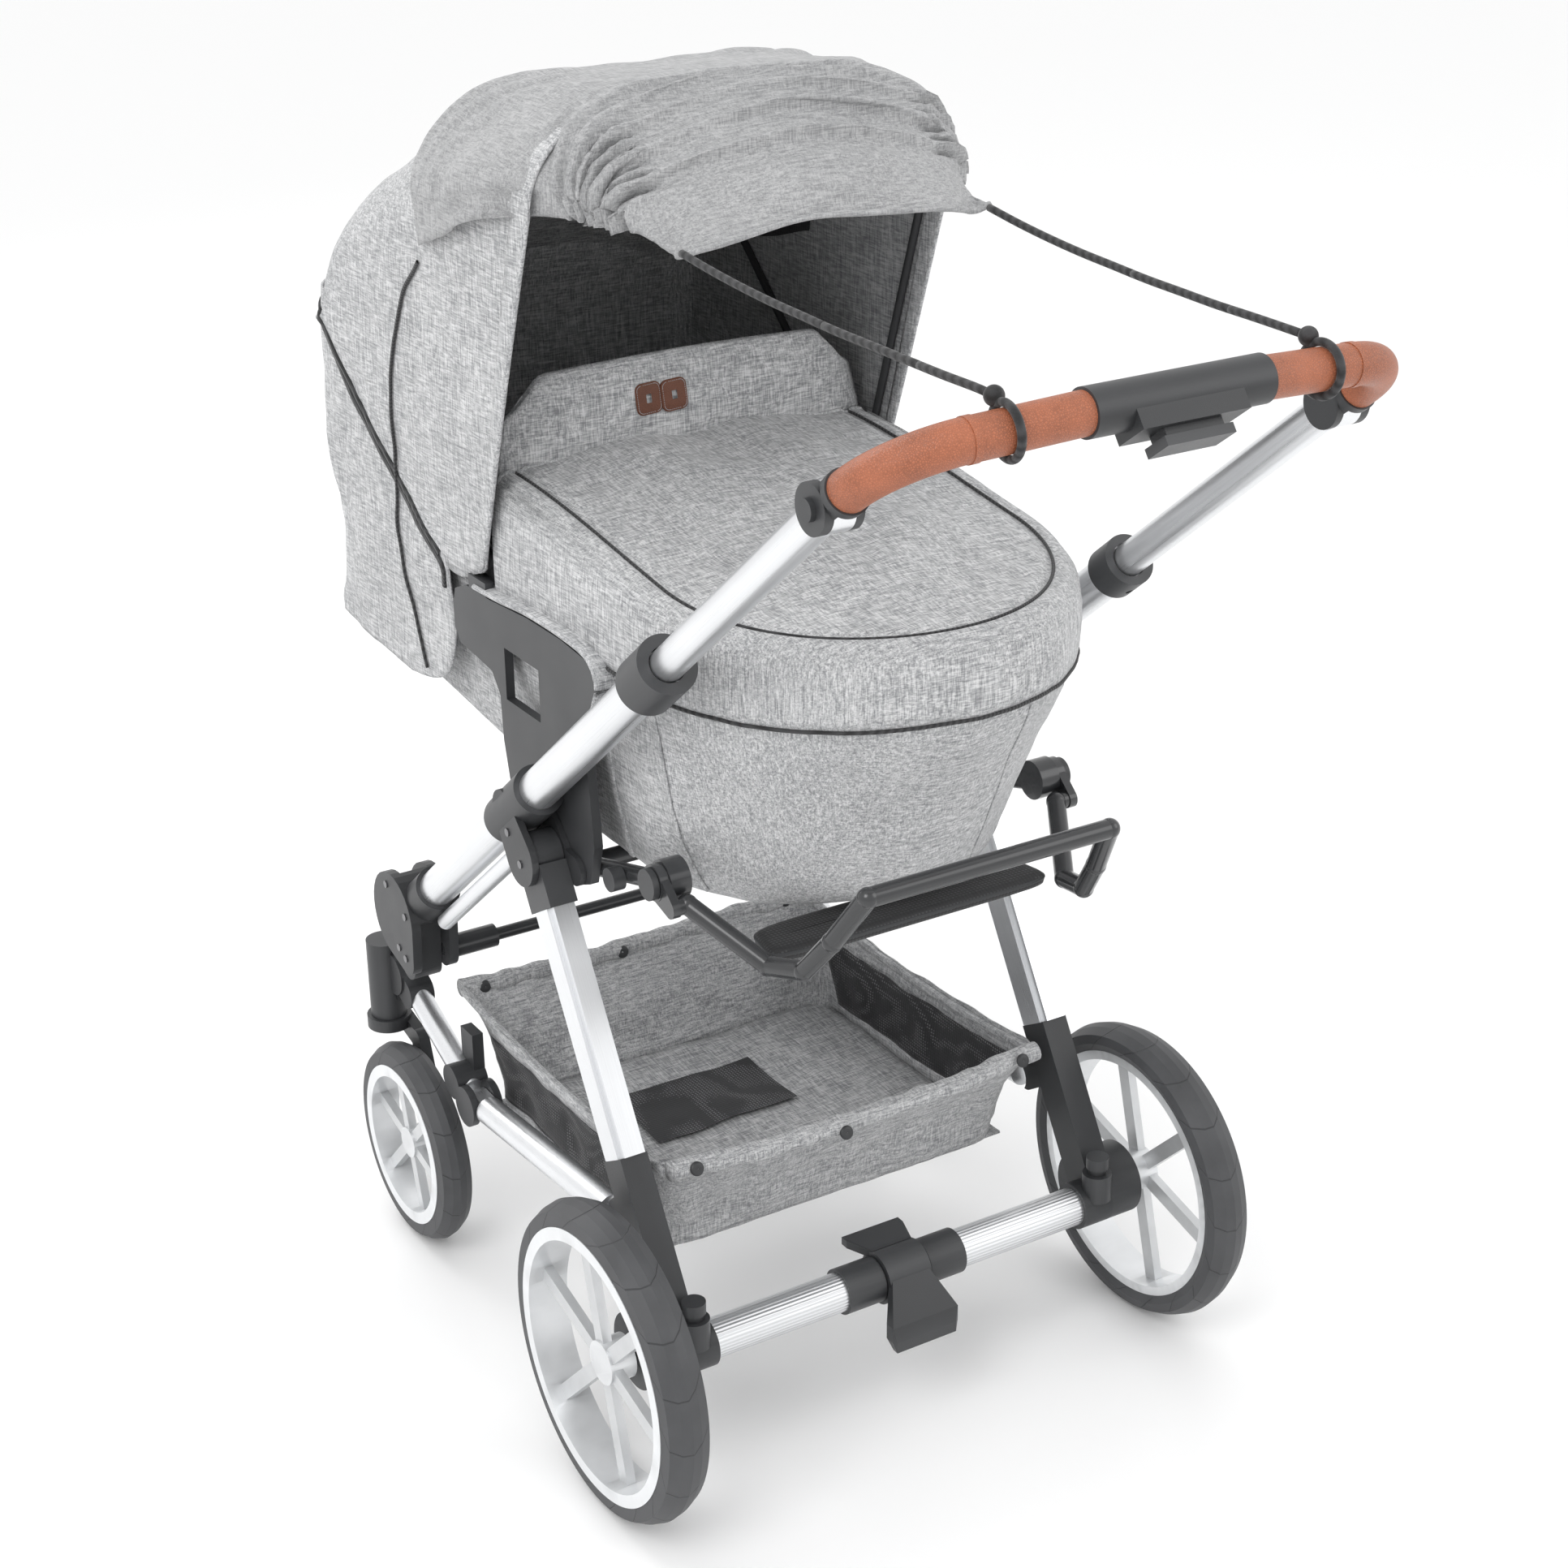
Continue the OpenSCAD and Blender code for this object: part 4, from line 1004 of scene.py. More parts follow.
    def build(self) -> list[bpy.types.Object]:
        """All pieces of the hood."""
        fold = HoodFold()
        rear = self.rear_panel()
        moving = [self.shell(), self.hem(), self.edge(), self.lining(), self.window()]
        tree = tree_of([moving[0], rear])
        zip_pts = (
            (-0.650, 0.872), (-0.600, 0.830), (-0.567, 0.800), (-0.481, 0.737), (-0.405, 0.690),
            (-0.398, 0.664)
        )
        stretch = (
            (-0.404, 0.947), (-0.441, 0.904), (-0.468, 0.83), (-0.479, 0.763), (-0.481, 0.683),
            (-0.463, 0.625), (-0.443, 0.575)
        )
        bands = []
        for side, word in ((1, "left"), (-1, "right")):
            moving.append(self.side_line(f"hood_zip_{word}", zip_pts, 0.0062, 0.0030, side, tree, 0.0008))
            moving.append(
                self.side_line(
                    f"hood_zip_fold_{word}", [(y + 0.004, z + 0.004) for y, z in zip_pts[:-1]], 0.0050,
                    0.0036, side, tree, 0.0004
                )
            )
            bands.append(self.side_line(f"sail_elastic_{word}", stretch, 0.0034, 0.0026, side, tree, 0.0022))
        for band in bands:
            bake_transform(band)
        tag_at = laid(tree, [at(-0.4, -0.222, 0.900)], Vector((1, 0, 0)), 0.0012)
        if tag_at:
            tag = plaque(
                "hood_side_tag", tag_at[0], Vector((0, -0.35, 1)).normalized(), Vector((-1, 0, 0)), 0.052,
                0.017, 0.0022, 0.003
            )
            moving.append(tag)
        for obj in moving:
            fold.blend(obj)
        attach(rear, "upper_frame")
        return moving + bands + [rear]


@dataclass
class Sail:
    """Sun sail: a gathered sheet over the hood's front edge, held by two cords."""

    folds: int = 5
    middle: tuple[Triple, ...] = (
        (0, -0.392, 1.088), (0, -0.33, 1.094), (0, -0.26, 1.101), (0, -0.21, 1.104), (0, -0.172, 1.100),
        (0, -0.145, 1.090), (0, -0.122, 1.076), (0, -0.102, 1.058), (0, -0.088, 1.040), (0, -0.080, 1.018)
    )
    quarter: tuple[Triple, ...] = (
        (0.13, -0.396, 1.083), (0.132, -0.335, 1.089), (0.134, -0.265, 1.095), (0.134, -0.205, 1.094),
        (0.125, -0.168, 1.082), (0.118, -0.146, 1.068), (0.112, -0.128, 1.052), (0.108, -0.112, 1.038),
        (0.106, -0.098, 1.025), (0.104, -0.078, 1.009)
    )
    shoulder: tuple[Triple, ...] = (
        (0.193, -0.402, 1.03), (0.196, -0.345, 1.038), (0.198, -0.285, 1.045), (0.192, -0.232, 1.052),
        (0.172, -0.185, 1.050), (0.156, -0.155, 1.042), (0.149, -0.136, 1.034), (0.145, -0.124, 1.026),
        (0.141, -0.108, 1.016), (0.131, -0.084, 1.003)
    )
    side: tuple[Triple, ...] = (
        (0.200, -0.392, 0.962), (0.203, -0.338, 0.980), (0.205, -0.285, 1.001), (0.196, -0.230, 1.014),
        (0.178, -0.19, 1.018), (0.160, -0.156, 1.016), (0.149, -0.136, 1.014), (0.144, -0.124, 1.014),
        (0.141, -0.104, 1.012), (0.139, -0.072, 1.010)
    )

    def rows(self) -> list[list[Vector]]:
        """The cloth's surface, rows across, from the back edge to the front lip."""
        n = 190
        lines = []
        for part, k in ((self.middle, 0.0), (self.quarter, 0.35), (self.shoulder, 0.8), (self.side, 1.0)):
            fine = flow(part, 600)
            share = np.interp(
                np.linspace(0, 1, n), [0, 0.44, 0.86, 1], [0, 0.44 + 0.22 * k, 0.86 - 0.04 * k, 1]
            )
            lines.append(fine[(share * 599).astype(int)])
        rows = []
        for i in range(n):
            s = i / (n - 1)
            half = flow(
                [tuple(lines[k][i]) for k in (3, 2, 1, 0)] + [
                    (-lines[1][i][0], lines[1][i][1], lines[1][i][2])
                ],
                53
            )[:41]
            keep = [tuple(q) for q in half if q[0] > 0.004]
            keep.append(tuple(lines[0][i]))
            even = flow(keep, 44)
            row = [at(*q) for q in even]
            row += [Vector((-p.x, p.y, p.z)) for p in reversed(row[:-1])]
            rows.append(row)
        m = len(rows[0])
        out = [[p.copy() for p in row] for row in rows]
        for i in range(n):
            s = i / (n - 1)
            for j in range(m):
                a, b = rows[max(i - 1, 0)][j], rows[min(i + 1, n - 1)][j]
                c, d = rows[i][max(j - 1, 0)], rows[i][min(j + 1, m - 1)]
                normal = (b - a).cross(d - c)
                if normal.length < 1e-12:
                    continue
                normal.normalize()
                if normal.z < 0:
                    normal = -normal
                p = rows[i][j]
                x = abs(p.x) / 0.14
                zone = smooth(0.42, 0.50, s) * (1 - smooth(0.84, 0.88, s))
                phase = 2 * math.pi * self.folds * (s - 0.44) / 0.42 + 1.1 * noise.noise(
                    Vector((p.x * 7, s * 3, 2.0))
                )
                wave = math.sin(phase)
                ridge = (abs(wave) ** 0.75) * math.copysign(1, wave)
                amp = (
                    0.0050 + 0.0030 * noise.noise(Vector((p.x * 9, s * 9, 6.0)))
                ) * (1 - 0.35 * smooth(0.5, 1.0, x))
                shift = zone * amp * ridge
                lean = zone * amp * 0.9 * math.cos(phase) * (1 - smooth(0.6, 1.0, x))
                u, v = abs(p.x) / 0.2, s / 0.5
                angle = math.atan2(v, 1.12 - u)
                away = math.hypot(v, 1.12 - u)
                drape = math.sin(angle * 15 + 2 * noise.noise(Vector((p.x * 6, s * 6, 1.0))))
                shift += 0.0032 * drape * smooth(0.05, 0.35, away) * (
                    1 - smooth(0.4, 0.52, s)
                ) * smooth(0.15, 0.6, u)
                shift += crumple(p, 15, 0.0022) * (1 - zone) + crumple(p, 34, 0.0010)
                bunch = smooth(0.82, 1.0, x) * smooth(0.55, 0.64, s) * (1 - smooth(0.84, 0.89, s))
                ruffle = math.sin(phase * 1.7 + 30 * abs(p.x)) + 0.7 * noise.noise(
                    Vector((p.x * 190, s * 90, 4.0))
                )
                shift += bunch * 0.0055 * ruffle
                move = normal * max(shift, -0.0005 if s < 0.42 else -0.02)
                move += Vector(
                    (
                        math.copysign(1, p.x) * bunch * 0.006 * math.sin(phase * 2.3 + 1.0),
                        bunch * 0.004 * noise.noise(Vector((s * 120, p.x * 80, 9.0))), 0
                    )
                )
                move += (b - a).normalized() * lean
                out[i][j] = p + move
                out[i][j].z += smooth(0.88, 0.94, s) * 0.0015 * math.sin(p.x * 45)
        return out

    def build(self) -> list[bpy.types.Object]:
        """The sail and its trims."""
        rows = self.rows()
        sail = thicken(grid("sun_sail_cloth", rows, SAIL_CLOTH), 0.0014, 0.0)
        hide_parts("sun_sail")
        HoodFold().blend(sail)
        hem = hose("sail_front_hem", [p + Vector((0, 0.0005, 0)) for p in rows[-1]], 0.0026, SAIL_CLOTH, 8)
        HoodFold().blend(hem)
        return [sail, hem]


@dataclass
class SailCords:
    """The two black cords from the sail's front corners to knots on the grip."""

    diameter: float = 0.006
    near: tuple[Triple, ...] = (
        (0.137, -0.0697, 1.008), (0.136, -0.03, 1.003), (0.135, 0.01, 0.999), (0.134, 0.05, 0.996),
        (0.133, 0.09, 0.994), (0.132, 0.13, 0.992), (0.131, 0.17, 0.991), (0.130, 0.21, 0.990),
        (0.130, 0.25, 0.9895), (0.129, 0.285, 0.9892), (0.129, 0.2992, 0.9888)
    )
    cut: tuple[int, int] = (30, 48)

    def build(self) -> list[bpy.types.Object]:
        """Each cord in three runs: by the hood, along the push arm and at the handlebar."""
        made = []
        for side, word in ((1, "left"), (-1, "right")):
            line = [at(side * p[0], p[1], p[2]) for p in flow(self.near, 61)]
            a, b = self.cut
            runs = (
                ("sail", line[: a + 1], ("upper_frame", "hood_front"), line[a], line[0]),
                ("middle", line[a : b + 1], ("upper_frame", "push_arm"), line[a], line[b]),
                ("grip", line[b:], ("push_arm", "handlebar"), line[b], line[-1])
            )
            for kind, path, pair, start, end in runs:
                obj = hose(f"sail_cord_{word}_{kind}", path, self.diameter / 2, CORD, 10)
                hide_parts(f"sail_cord_{word}")
                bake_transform(obj)
                made.append(obj)
        return made


@dataclass
class Carrycot:
    """Soft carrycot body, foot cover, wind flap and mattress."""

    def plan(self, half: float, head: float, foot: float, corner: float) -> list[Pair]:
        """Closed outline seen from above: round foot, straight sides, rounded head.

        Args:
            half: half width.
            head: y of the head end.
            foot: y of the foot end.
            corner: corner radius at the head.

        Returns:
            Points from the middle of the foot round to it again.
        """
        pts = [
            (half * math.sin(a), foot - half + half * math.cos(a)) for a in np.linspace(0, math.pi / 2, 40)
        ]
        pts += [(half, y) for y in np.linspace(foot - half, head + corner, 30)[1:]]
        pts += [
            (half - corner + corner * math.cos(a), head + corner - corner * math.sin(a))
            for a in np.linspace(0, math.pi / 2, 20)[1:]
        ]
        pts += [(x, head) for x in np.linspace(half - corner, 0, 12)[1:]]
        loop = pts + [(-x, y) for x, y in reversed(pts[1:-1])]
        return loop

    def body(self) -> bpy.types.Object:
        """Outer skin from the base up over the rim and down inside."""
        levels = [
            (0.500, 0.100, -0.27, -0.030, 0.05), (0.4935, 0.138, -0.32, 0.010, 0.06), (
                0.4945, 0.149, -0.335, 0.022, 0.07
            ),
            (0.505, 0.156, -0.36, 0.033, 0.08), (
                0.530, 0.162, -0.452, 0.046, 0.085
            ), (0.560, 0.167, -0.60, 0.060, 0.09),
            (
                0.582, 0.170, -0.650, 0.070, 0.09
            ), (0.610, 0.174, -0.655, 0.083, 0.09), (0.645, 0.178, -0.656, 0.101, 0.09),
            (0.668, 0.180, -0.657, 0.112, 0.09), (
                0.690, 0.1805, -0.657, 0.115, 0.09
            ), (0.715, 0.180, -0.657, 0.112, 0.09),
            (0.731, 0.178, -0.656, 0.109, 0.09), (
                0.736, 0.174, -0.652, 0.105, 0.088
            ), (0.731, 0.170, -0.648, 0.101, 0.086),
            (0.70, 0.169, -0.646, 0.099, 0.085), (0.62, 0.160, -0.640, 0.073, 0.085), (
                0.590, 0.152, -0.635, 0.053, 0.085
            ),
        ]
        z = flow([(lv[0],) + lv[1:] for lv in levels], 70)
        rows = []
        for zk, half, head, foot, corner in z:
            rows.append([at(x, y, zk) for x, y in self.plan(half, head, foot, corner)])
        n = len(rows[0])
        for i, row in enumerate(rows[:48]):
            for j, p in enumerate(row):
                out = Vector((p.x, (p.y - AXLE + 0.28) * 0.5, 0)).normalized()
                p += out * (crumple(p, 10, 0.0035, 7) + crumple(p, 28, 0.0012)) * smooth(0, 6, i)
        base = Vector(at(0, -0.16, 0.500))
        verts = [p for row in rows for p in row] + [base]
        faces = []
        for i in range(len(rows) - 1):
            for j in range(n):
                faces.append((i * n + j, i * n + (j + 1) % n, (i + 1) * n + (j + 1) % n, (i + 1) * n + j))
        faces += [(j, (j + 1) % n, len(verts) - 1) for j in range(n)]
        obj = to_object("carrycot_body", verts, faces, CLOTH, 1e-5)
        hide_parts("cot_shell")
        return obj

    def u_line(self, half: float, foot: float, count: int = 121) -> list[Pair]:
        """Open outline round the foot, from one end of the flap to the other."""
        front = -0.311
        straight = foot - half - front
        arc = math.pi * half
        total = 2 * straight + arc
        out = []
        for s in np.linspace(0, total, count):
            if s < straight:
                out.append((half, front + s))
            elif s < straight + arc:
                a = (s - straight) / half
                out.append((half * math.cos(a), foot - half + half * math.sin(a)))
            else:
                out.append((-half, front + total - s))
        return out

    def top_z(self, y: float) -> float:
        """Height of the foot cover's top, which rises to the flap."""
        return 0.7405 + 0.0415 * (1 - smooth(-0.33, 0.12, y)) ** 1.2

    def cover(self) -> list[bpy.types.Object]:
        """Foot cover: skirt, padded rolled edge, piping and puckered top."""
        rings = [
            (0.679, -0.0045), (0.6795, 0.0035), (0.688, 0.0055), (0.703, 0.0062), (0.718, 0.0056),
            (0.730, 0.0035), (None, 0.0), (None, -0.006), (None, -0.013), (None, -0.018), (None, -0.022),
            (None, -0.028)
        ]
        lifts = {6: -0.004, 7: 0.0025, 8: 0.0042, 9: 0.0015, 10: 0.0015, 11: 0.0050}
        half, foot, count = 0.181, 0.1165, 181
        rows = []
        for k, (z, off) in enumerate(rings):
            row = []
            for i, (x, y) in enumerate(self.u_line(half + off, foot + off, count)):
                rise = self.top_z(y) - 0.7405
                if z is None:
                    zz = self.top_z(y) + lifts[k]
                else:
                    zz = z + rise * smooth(0.70, 0.735, z) + 0.012 * rise / 0.04 * smooth(0.69, 0.70, z)
                row.append(at(x, y, zz))
            rows.append(row)
        inner = self.u_line(half - 0.028, foot - 0.028, count)
        centre_y = foot - half
        for k in range(1, 19):
            t = k / 18
            row = []
            for x, y in inner:
                sy = min(y, centre_y)
                px, py = x * (1 - t), y + (sy - y) * t
                lift = 0.0050 + 0.0105 * smooth(0, 0.75, t) - 0.004 * smooth(0.7, 1, t)
                row.append(at(px, py, self.top_z(py) + lift))
            rows.append(row)
        for k, row in enumerate(rows):
            for i, p in enumerate(row):
                if k >= 11:
                    t = (k - 11) / 18
                    pucker = math.sin(
                        i * 0.9 + 2.2 * noise.noise(Vector((i * 0.13, 0, 5)))
                    ) * 0.0011 * (1 - smooth(0.0, 0.45, t)) * smooth(0, 0.06, t)
                    p.z += pucker + (
                        crumple(p, 9, 0.0045, 11) + crumple(p, 24, 0.0016)
                    ) * smooth(0.03, 0.4, t)
                elif 1 <= k < 7:
                    out = Vector((p.x, max(p.y - at(0, centre_y, 0).y, 0), 0))
                    if out.length > 0:
                        p += out.normalized() * (crumple(p, 16, 0.0022, 2) + crumple(p, 45, 0.0008))
        cover = grid("foot_cover", rows, CLOTH)
        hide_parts("cot_apron")
        line = [Vector(p) + Vector((0, 0, 0.0012)) for p in rows[9]]
        pipe = hose("foot_cover_piping", line, 0.0014, PIPING, 8)
        low = [Vector(p) for p in rows[1]]
        edge = hose("foot_cover_zip", [p + Vector((0, 0, -0.0012)) for p in low], 0.0017, PIPING, 8)
        head = [rows[k][0] for k in range(6, len(rows))] + [rows[k][-1] for k in range(len(rows) - 2, 5, -1)]
        seam = hose("flap_seam", head, 0.0022, CLOTH, 8)
        return [cover, pipe, edge, seam]

    def flap(self) -> list[bpy.types.Object]:
        """The upright wind flap with its soft folds."""
        m, n = 64, 34
        front, back = [], []
        for i in range(n + 1):
            t = i / n
            row_f, row_b = [], []
            for j in range(m + 1):
                v = -1 + 2 * j / m
                edge = 0.180 - 0.012 * t
                top = 0.080 * (1 - 0.30 * smooth(0.80, 1.0, abs(v)) ** 1.5) + 0.006 * math.cos(v * 1.5)
                x = v * (edge - 0.010 * smooth(0.75, 1.0, t) ** 2)
                z = 0.779 + top * t
                lean = -0.311 - 0.005 * t - 0.010 * v * v * 0.6
                body = math.sin(math.pi * min(max(t, 0.0), 1.0)) ** 0.5 * (1 - abs(v) ** 14)
                thick = 0.0075 * body
                wave = crumple(
                    Vector((x, t * 0.1, z)), 17, 0.0040, 21
                ) + crumple(Vector((x, 0, z)), 42, 0.0012, 2)
                crease = 0.0028 * math.sin(38 * (z - 0.779) + 9 * x + 2.0) * (1 - t) * smooth(0.2, 1, v)
                row_f.append(at(x, lean + thick + (wave + crease) * body, z))
                row_b.append(at(x, lean - thick * 0.8 + wave * body * 0.6, z))
            front.append(row_f)
            back.append(row_b)
        rows = front + list(reversed(back))
        obj = grid("wind_flap", rows, CLOTH, loop_u=True, weld=2e-4)
        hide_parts("apron_flap")
        tree = tree_of([obj])
        made = [obj]
        for k, x in enumerate((0.0385, 0.0145)):
            spot = laid(tree, [at(x, 0.1, 0.8285)], Vector((0, -1, 0)), 0.0010)[0]
            made.append(
                plaque(
                    f"flap_patch_{k}", spot, Vector((0.06, 0, 1)).normalized(),
                    Vector((0, 1, 0.10)).normalized(), 0.027, 0.0245, 0.0022, 0.006
                )
            )
        return made

    def mattress(self) -> bpy.types.Object:
        """Thin mattress with a crowned top."""
        rows = []
        for z, half, head, foot in (
            (0.5815, 0.12, -0.60, 0.0), (0.5815, 0.149, -0.638, 0.026), (0.590, 0.151, -0.640, 0.028),
            (0.597, 0.149, -0.638, 0.026), (0.600, 0.140, -0.628, 0.016), (0.601, 0.11, -0.60, -0.01),
            (0.602, 0.05, -0.5, -0.08), (0.602, 0.01, -0.4, -0.2)
        ):
            rows.append([at(x, y, z) for x, y in self.plan(half, head, foot, min(0.08, half * 0.9))])
        obj = grid("mattress_cover", rows, LINING, loop_v=True)
        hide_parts("cot_mattress")
        return obj

    def side_pads(self) -> list[bpy.types.Object]:
        """Cloth strips along the top of the seat adapters and the side seams."""
        made = []
        top = (
            (-0.335, 0.6845), (-0.290, 0.6865), (-0.239, 0.6905), (-0.180, 0.6905), (-0.135, 0.6855),
            (-0.119, 0.668), (-0.127, 0.645)
        )
        for side, word in ((1, "left"), (-1, "right")):
            line = [at(side * 0.1875, y, z) for y, z in flow(top, 50)]
            made.append(
                tape(f"adapter_pad_{word}", line, 0.021, 0.0052, Vector((0, 0.15, 1)).normalized(), CLOTH)
            )
            tree = tree_of([bpy.data.objects["carrycot_body"]])
            for k, y in enumerate((-0.150, -0.062)):
                start = [at(side * 0.4, y + 0.02 * (0.64 - z), z) for z in np.linspace(0.665, 0.500, 40)]
                seam = laid(tree, start, Vector((-side, 0, 0)), 0.0006)
                made.append(tape(f"side_seam_{word}_{k}", seam, 0.0090, 0.0030, Vector((side, 0, 0)), CLOTH))
        tree = tree_of([bpy.data.objects["carrycot_body"]])
        start = [at(-0.060, 0.4, z) for z in np.linspace(0.668, 0.505, 50)]
        seam = laid(tree, start, Vector((0, -1, 0)), 0.0002)
        # The seam is drawn in the darkened lining cloth: a painted shade line along the seam.
        made.append(tape("foot_seam", seam, 0.0016, 0.0012, Vector((0, 1, 0)), CLOTH_SHADED))
        return made

    def build(self) -> list[bpy.types.Object]:
        """All carrycot pieces, fixed to the frame."""
        made = [self.body(), *self.cover(), *self.flap(), self.mattress()]
        made += self.side_pads()
        for obj in made:
            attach(obj, "upper_frame")
        return made


@dataclass
class Basket:
    """Shopping basket: cloth tub with net sides, sleeved rims and press studs."""

    rear_rim: Pair = (-0.044, 0.266)
    front_rim: Pair = (-0.436, 0.262)
    rear_foot: Pair = (-0.084, 0.160)
    front_foot: Pair = (-0.382, 0.160)
    half: float = 0.188
    foot_half: float = 0.178

    def loop(self, t: float, count: int = 44) -> list[Vector]:
        """Rounded rectangle at share t of the height, with sagging walls."""
        rear = (
            self.rear_foot[0] + (self.rear_rim[0] - self.rear_foot[0]) * t,
            self.rear_foot[1] + (self.rear_rim[1] - self.rear_foot[1]) * t
        )
        front = (
            self.front_foot[0] + (self.front_rim[0] - self.front_foot[0]) * t,
            self.front_foot[1] + (self.front_rim[1] - self.front_foot[1]) * t
        )
        half = self.foot_half + (self.half - self.foot_half) * t
        r = 0.030
        pts: list[Pair] = []
        pts += [(x, rear[0]) for x in np.linspace(-(half - r), half - r, count)]
        pts += [
            (half - r + r * math.sin(a), rear[0] - r + r * math.cos(a))
            for a in np.linspace(0, math.pi / 2, 8)[1:]
        ]
        pts += [(half, y) for y in np.linspace(rear[0] - r, front[0] + r, count)[1:]]
        pts += [
            (half - r + r * math.cos(a), front[0] + r - r * math.sin(a))
            for a in np.linspace(0, math.pi / 2, 8)[1:]
        ]
        pts += [(x, front[0]) for x in np.linspace(half - r, -(half - r), count)[1:]]
        pts += [
            (-(half - r) - r * math.sin(a), front[0] + r - r * math.cos(a))
            for a in np.linspace(0, math.pi / 2, 8)[1:]
        ]
        pts += [(-half, y) for y in np.linspace(front[0] + r, rear[0] - r, count)[1:]]
        pts += [
            (-(half - r) - r * math.cos(a), rear[0] - r + r * math.sin(a))
            for a in np.linspace(0, math.pi / 2, 8)[1:-1]
        ]
        out = []
        for x, y in pts:
            k = (y - front[0]) / (rear[0] - front[0])
            z = front[1] + (rear[1] - front[1]) * k
            sag = 0.010 * t * (1 - (x / half) ** 2) * (1 if k > 0.5 else 0.6)
            dip = 0.012 * t * 4 * k * (1 - k) * smooth(0.75, 1.0, abs(x) / half)
            p = at(x, y, z - sag - dip)
            side = Vector((x / half, (k - 0.5) * 2.2, 0))
            swell = -0.006 * math.sin(math.pi * t)
            p += side * (swell + crumple(p, 14, 0.006, 5) * smooth(0, 0.2, t) + crumple(p, 38, 0.0016, 6))
            out.append(p)
        return out

    def build(self) -> list[bpy.types.Object]:
        """Walls, floor, net panels, rim sleeves and studs."""
        shares = np.linspace(0, 1, 16)
        rows = [self.loop(float(t)) for t in shares]
        n = len(rows[0])
        c = 44
        side_a = range(c + 7, c + 7 + c - 1)
        side_b = range(c + 7 + c - 1 + 7 + c - 1 + 7, n - 6)
        cloth_faces, net_faces = [], []
        verts = [p for row in rows for p in row]
        for i in range(len(rows) - 1):
            for j in range(n):
                f = (i * n + j, i * n + (j + 1) % n, (i + 1) * n + (j + 1) % n, (i + 1) * n + j)
                low = 2 <= i < 12
                (net_faces if low and (j in side_a or j in side_b) else cloth_faces).append(f)
        walls = thicken(to_object("basket_walls", verts, cloth_faces, BASKET_CLOTH, 0), 0.002, 1.0)
        nets = thicken(to_object("basket_net_sides", verts, net_faces, NET, 0), 0.0012, 1.0)
        floor_rows = []
        for k in np.linspace(0, 1, 30):
            y = self.rear_foot[0] + (self.front_foot[0] - self.rear_foot[0]) * k
            line = []
            for x in np.linspace(-self.foot_half, self.foot_half, 36):
                p = at(x, y, 0.160 - 0.004 * (1 - (x / self.foot_half) ** 2) * 4 * k * (1 - k))
                p.z = max(p.z + crumple(p, 16, 0.003, 8), 0.1535)
                line.append(p)
            floor_rows.append(line)
        floor = thicken(grid("basket_floor", floor_rows, BASKET_CLOTH), 0.0022, 1.0)
        panel_rows = [
            [at(x, y, 0.1625 + crumple(at(x, y, 0.16), 16, 0.003, 8)) for x in np.linspace(-0.056, 0.092, 24)]
            for y in np.linspace(-0.235, -0.325, 14)
        ]
        panel = grid("basket_floor_net", panel_rows, NET)
        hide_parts("basket")
        rims = []
        for word, y, z, sag in (("rear", -0.044, 0.266, 0.010), ("front", -0.436, 0.262, 0.006)):
            path = []
            for x in np.linspace(-0.186, 0.186, 60):
                p = at(x, y, z - sag * (1 - (x / 0.186) ** 2) - 0.004)
                p += Vector((0, crumple(p, 22, 0.003), crumple(p, 30, 0.0016, 9)))
                path.append(p)
            rims.append(
                hose(
                    f"basket_{word}_sleeve", path,
                    lambda s: 0.0085 + 0.0012 * math.sin(s * 70) * math.sin(s * 13), BASKET_CLOTH, 14
                )
            )
        for side, word in ((1, "left"), (-1, "right")):
            path = [
                at(side * 0.187, y, 0.2585 - 0.012 * 4 * k * (1 - k)) for k,
                y in zip(np.linspace(0, 1, 40), np.linspace(-0.43, -0.05, 40))
            ]
            rims.append(hose(f"basket_{word}_binding", path, 0.0042, BASKET_CLOTH, 10))
        studs = []
        for k, (x, y, z) in enumerate(
            ((0.165, -0.036, 0.262), (0.02, -0.0345, 0.250), (-0.165, -0.036, 0.262))
        ):
            studs.append(dome(f"basket_stud_{k}", at(x, y, z), Vector((0, 0.9, 0.4)), 0.0062, 0.003, PLASTIC))
        for k, (x, y, z) in enumerate(
            ((0.02, -0.4285, 0.252), (-0.165, -0.43, 0.256), (0.165, -0.43, 0.256))
        ):
            studs.append(
                dome(f"basket_inner_stud_{k}", at(x, y, z), Vector((0, 1, 0.2)), 0.0062, 0.003, PLASTIC)
            )
        made = [walls, nets, floor, panel, *rims, *studs]
        for obj in made:
            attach(obj, "lower_rail")
        return made


# ---------------------------------------------------------------- studio


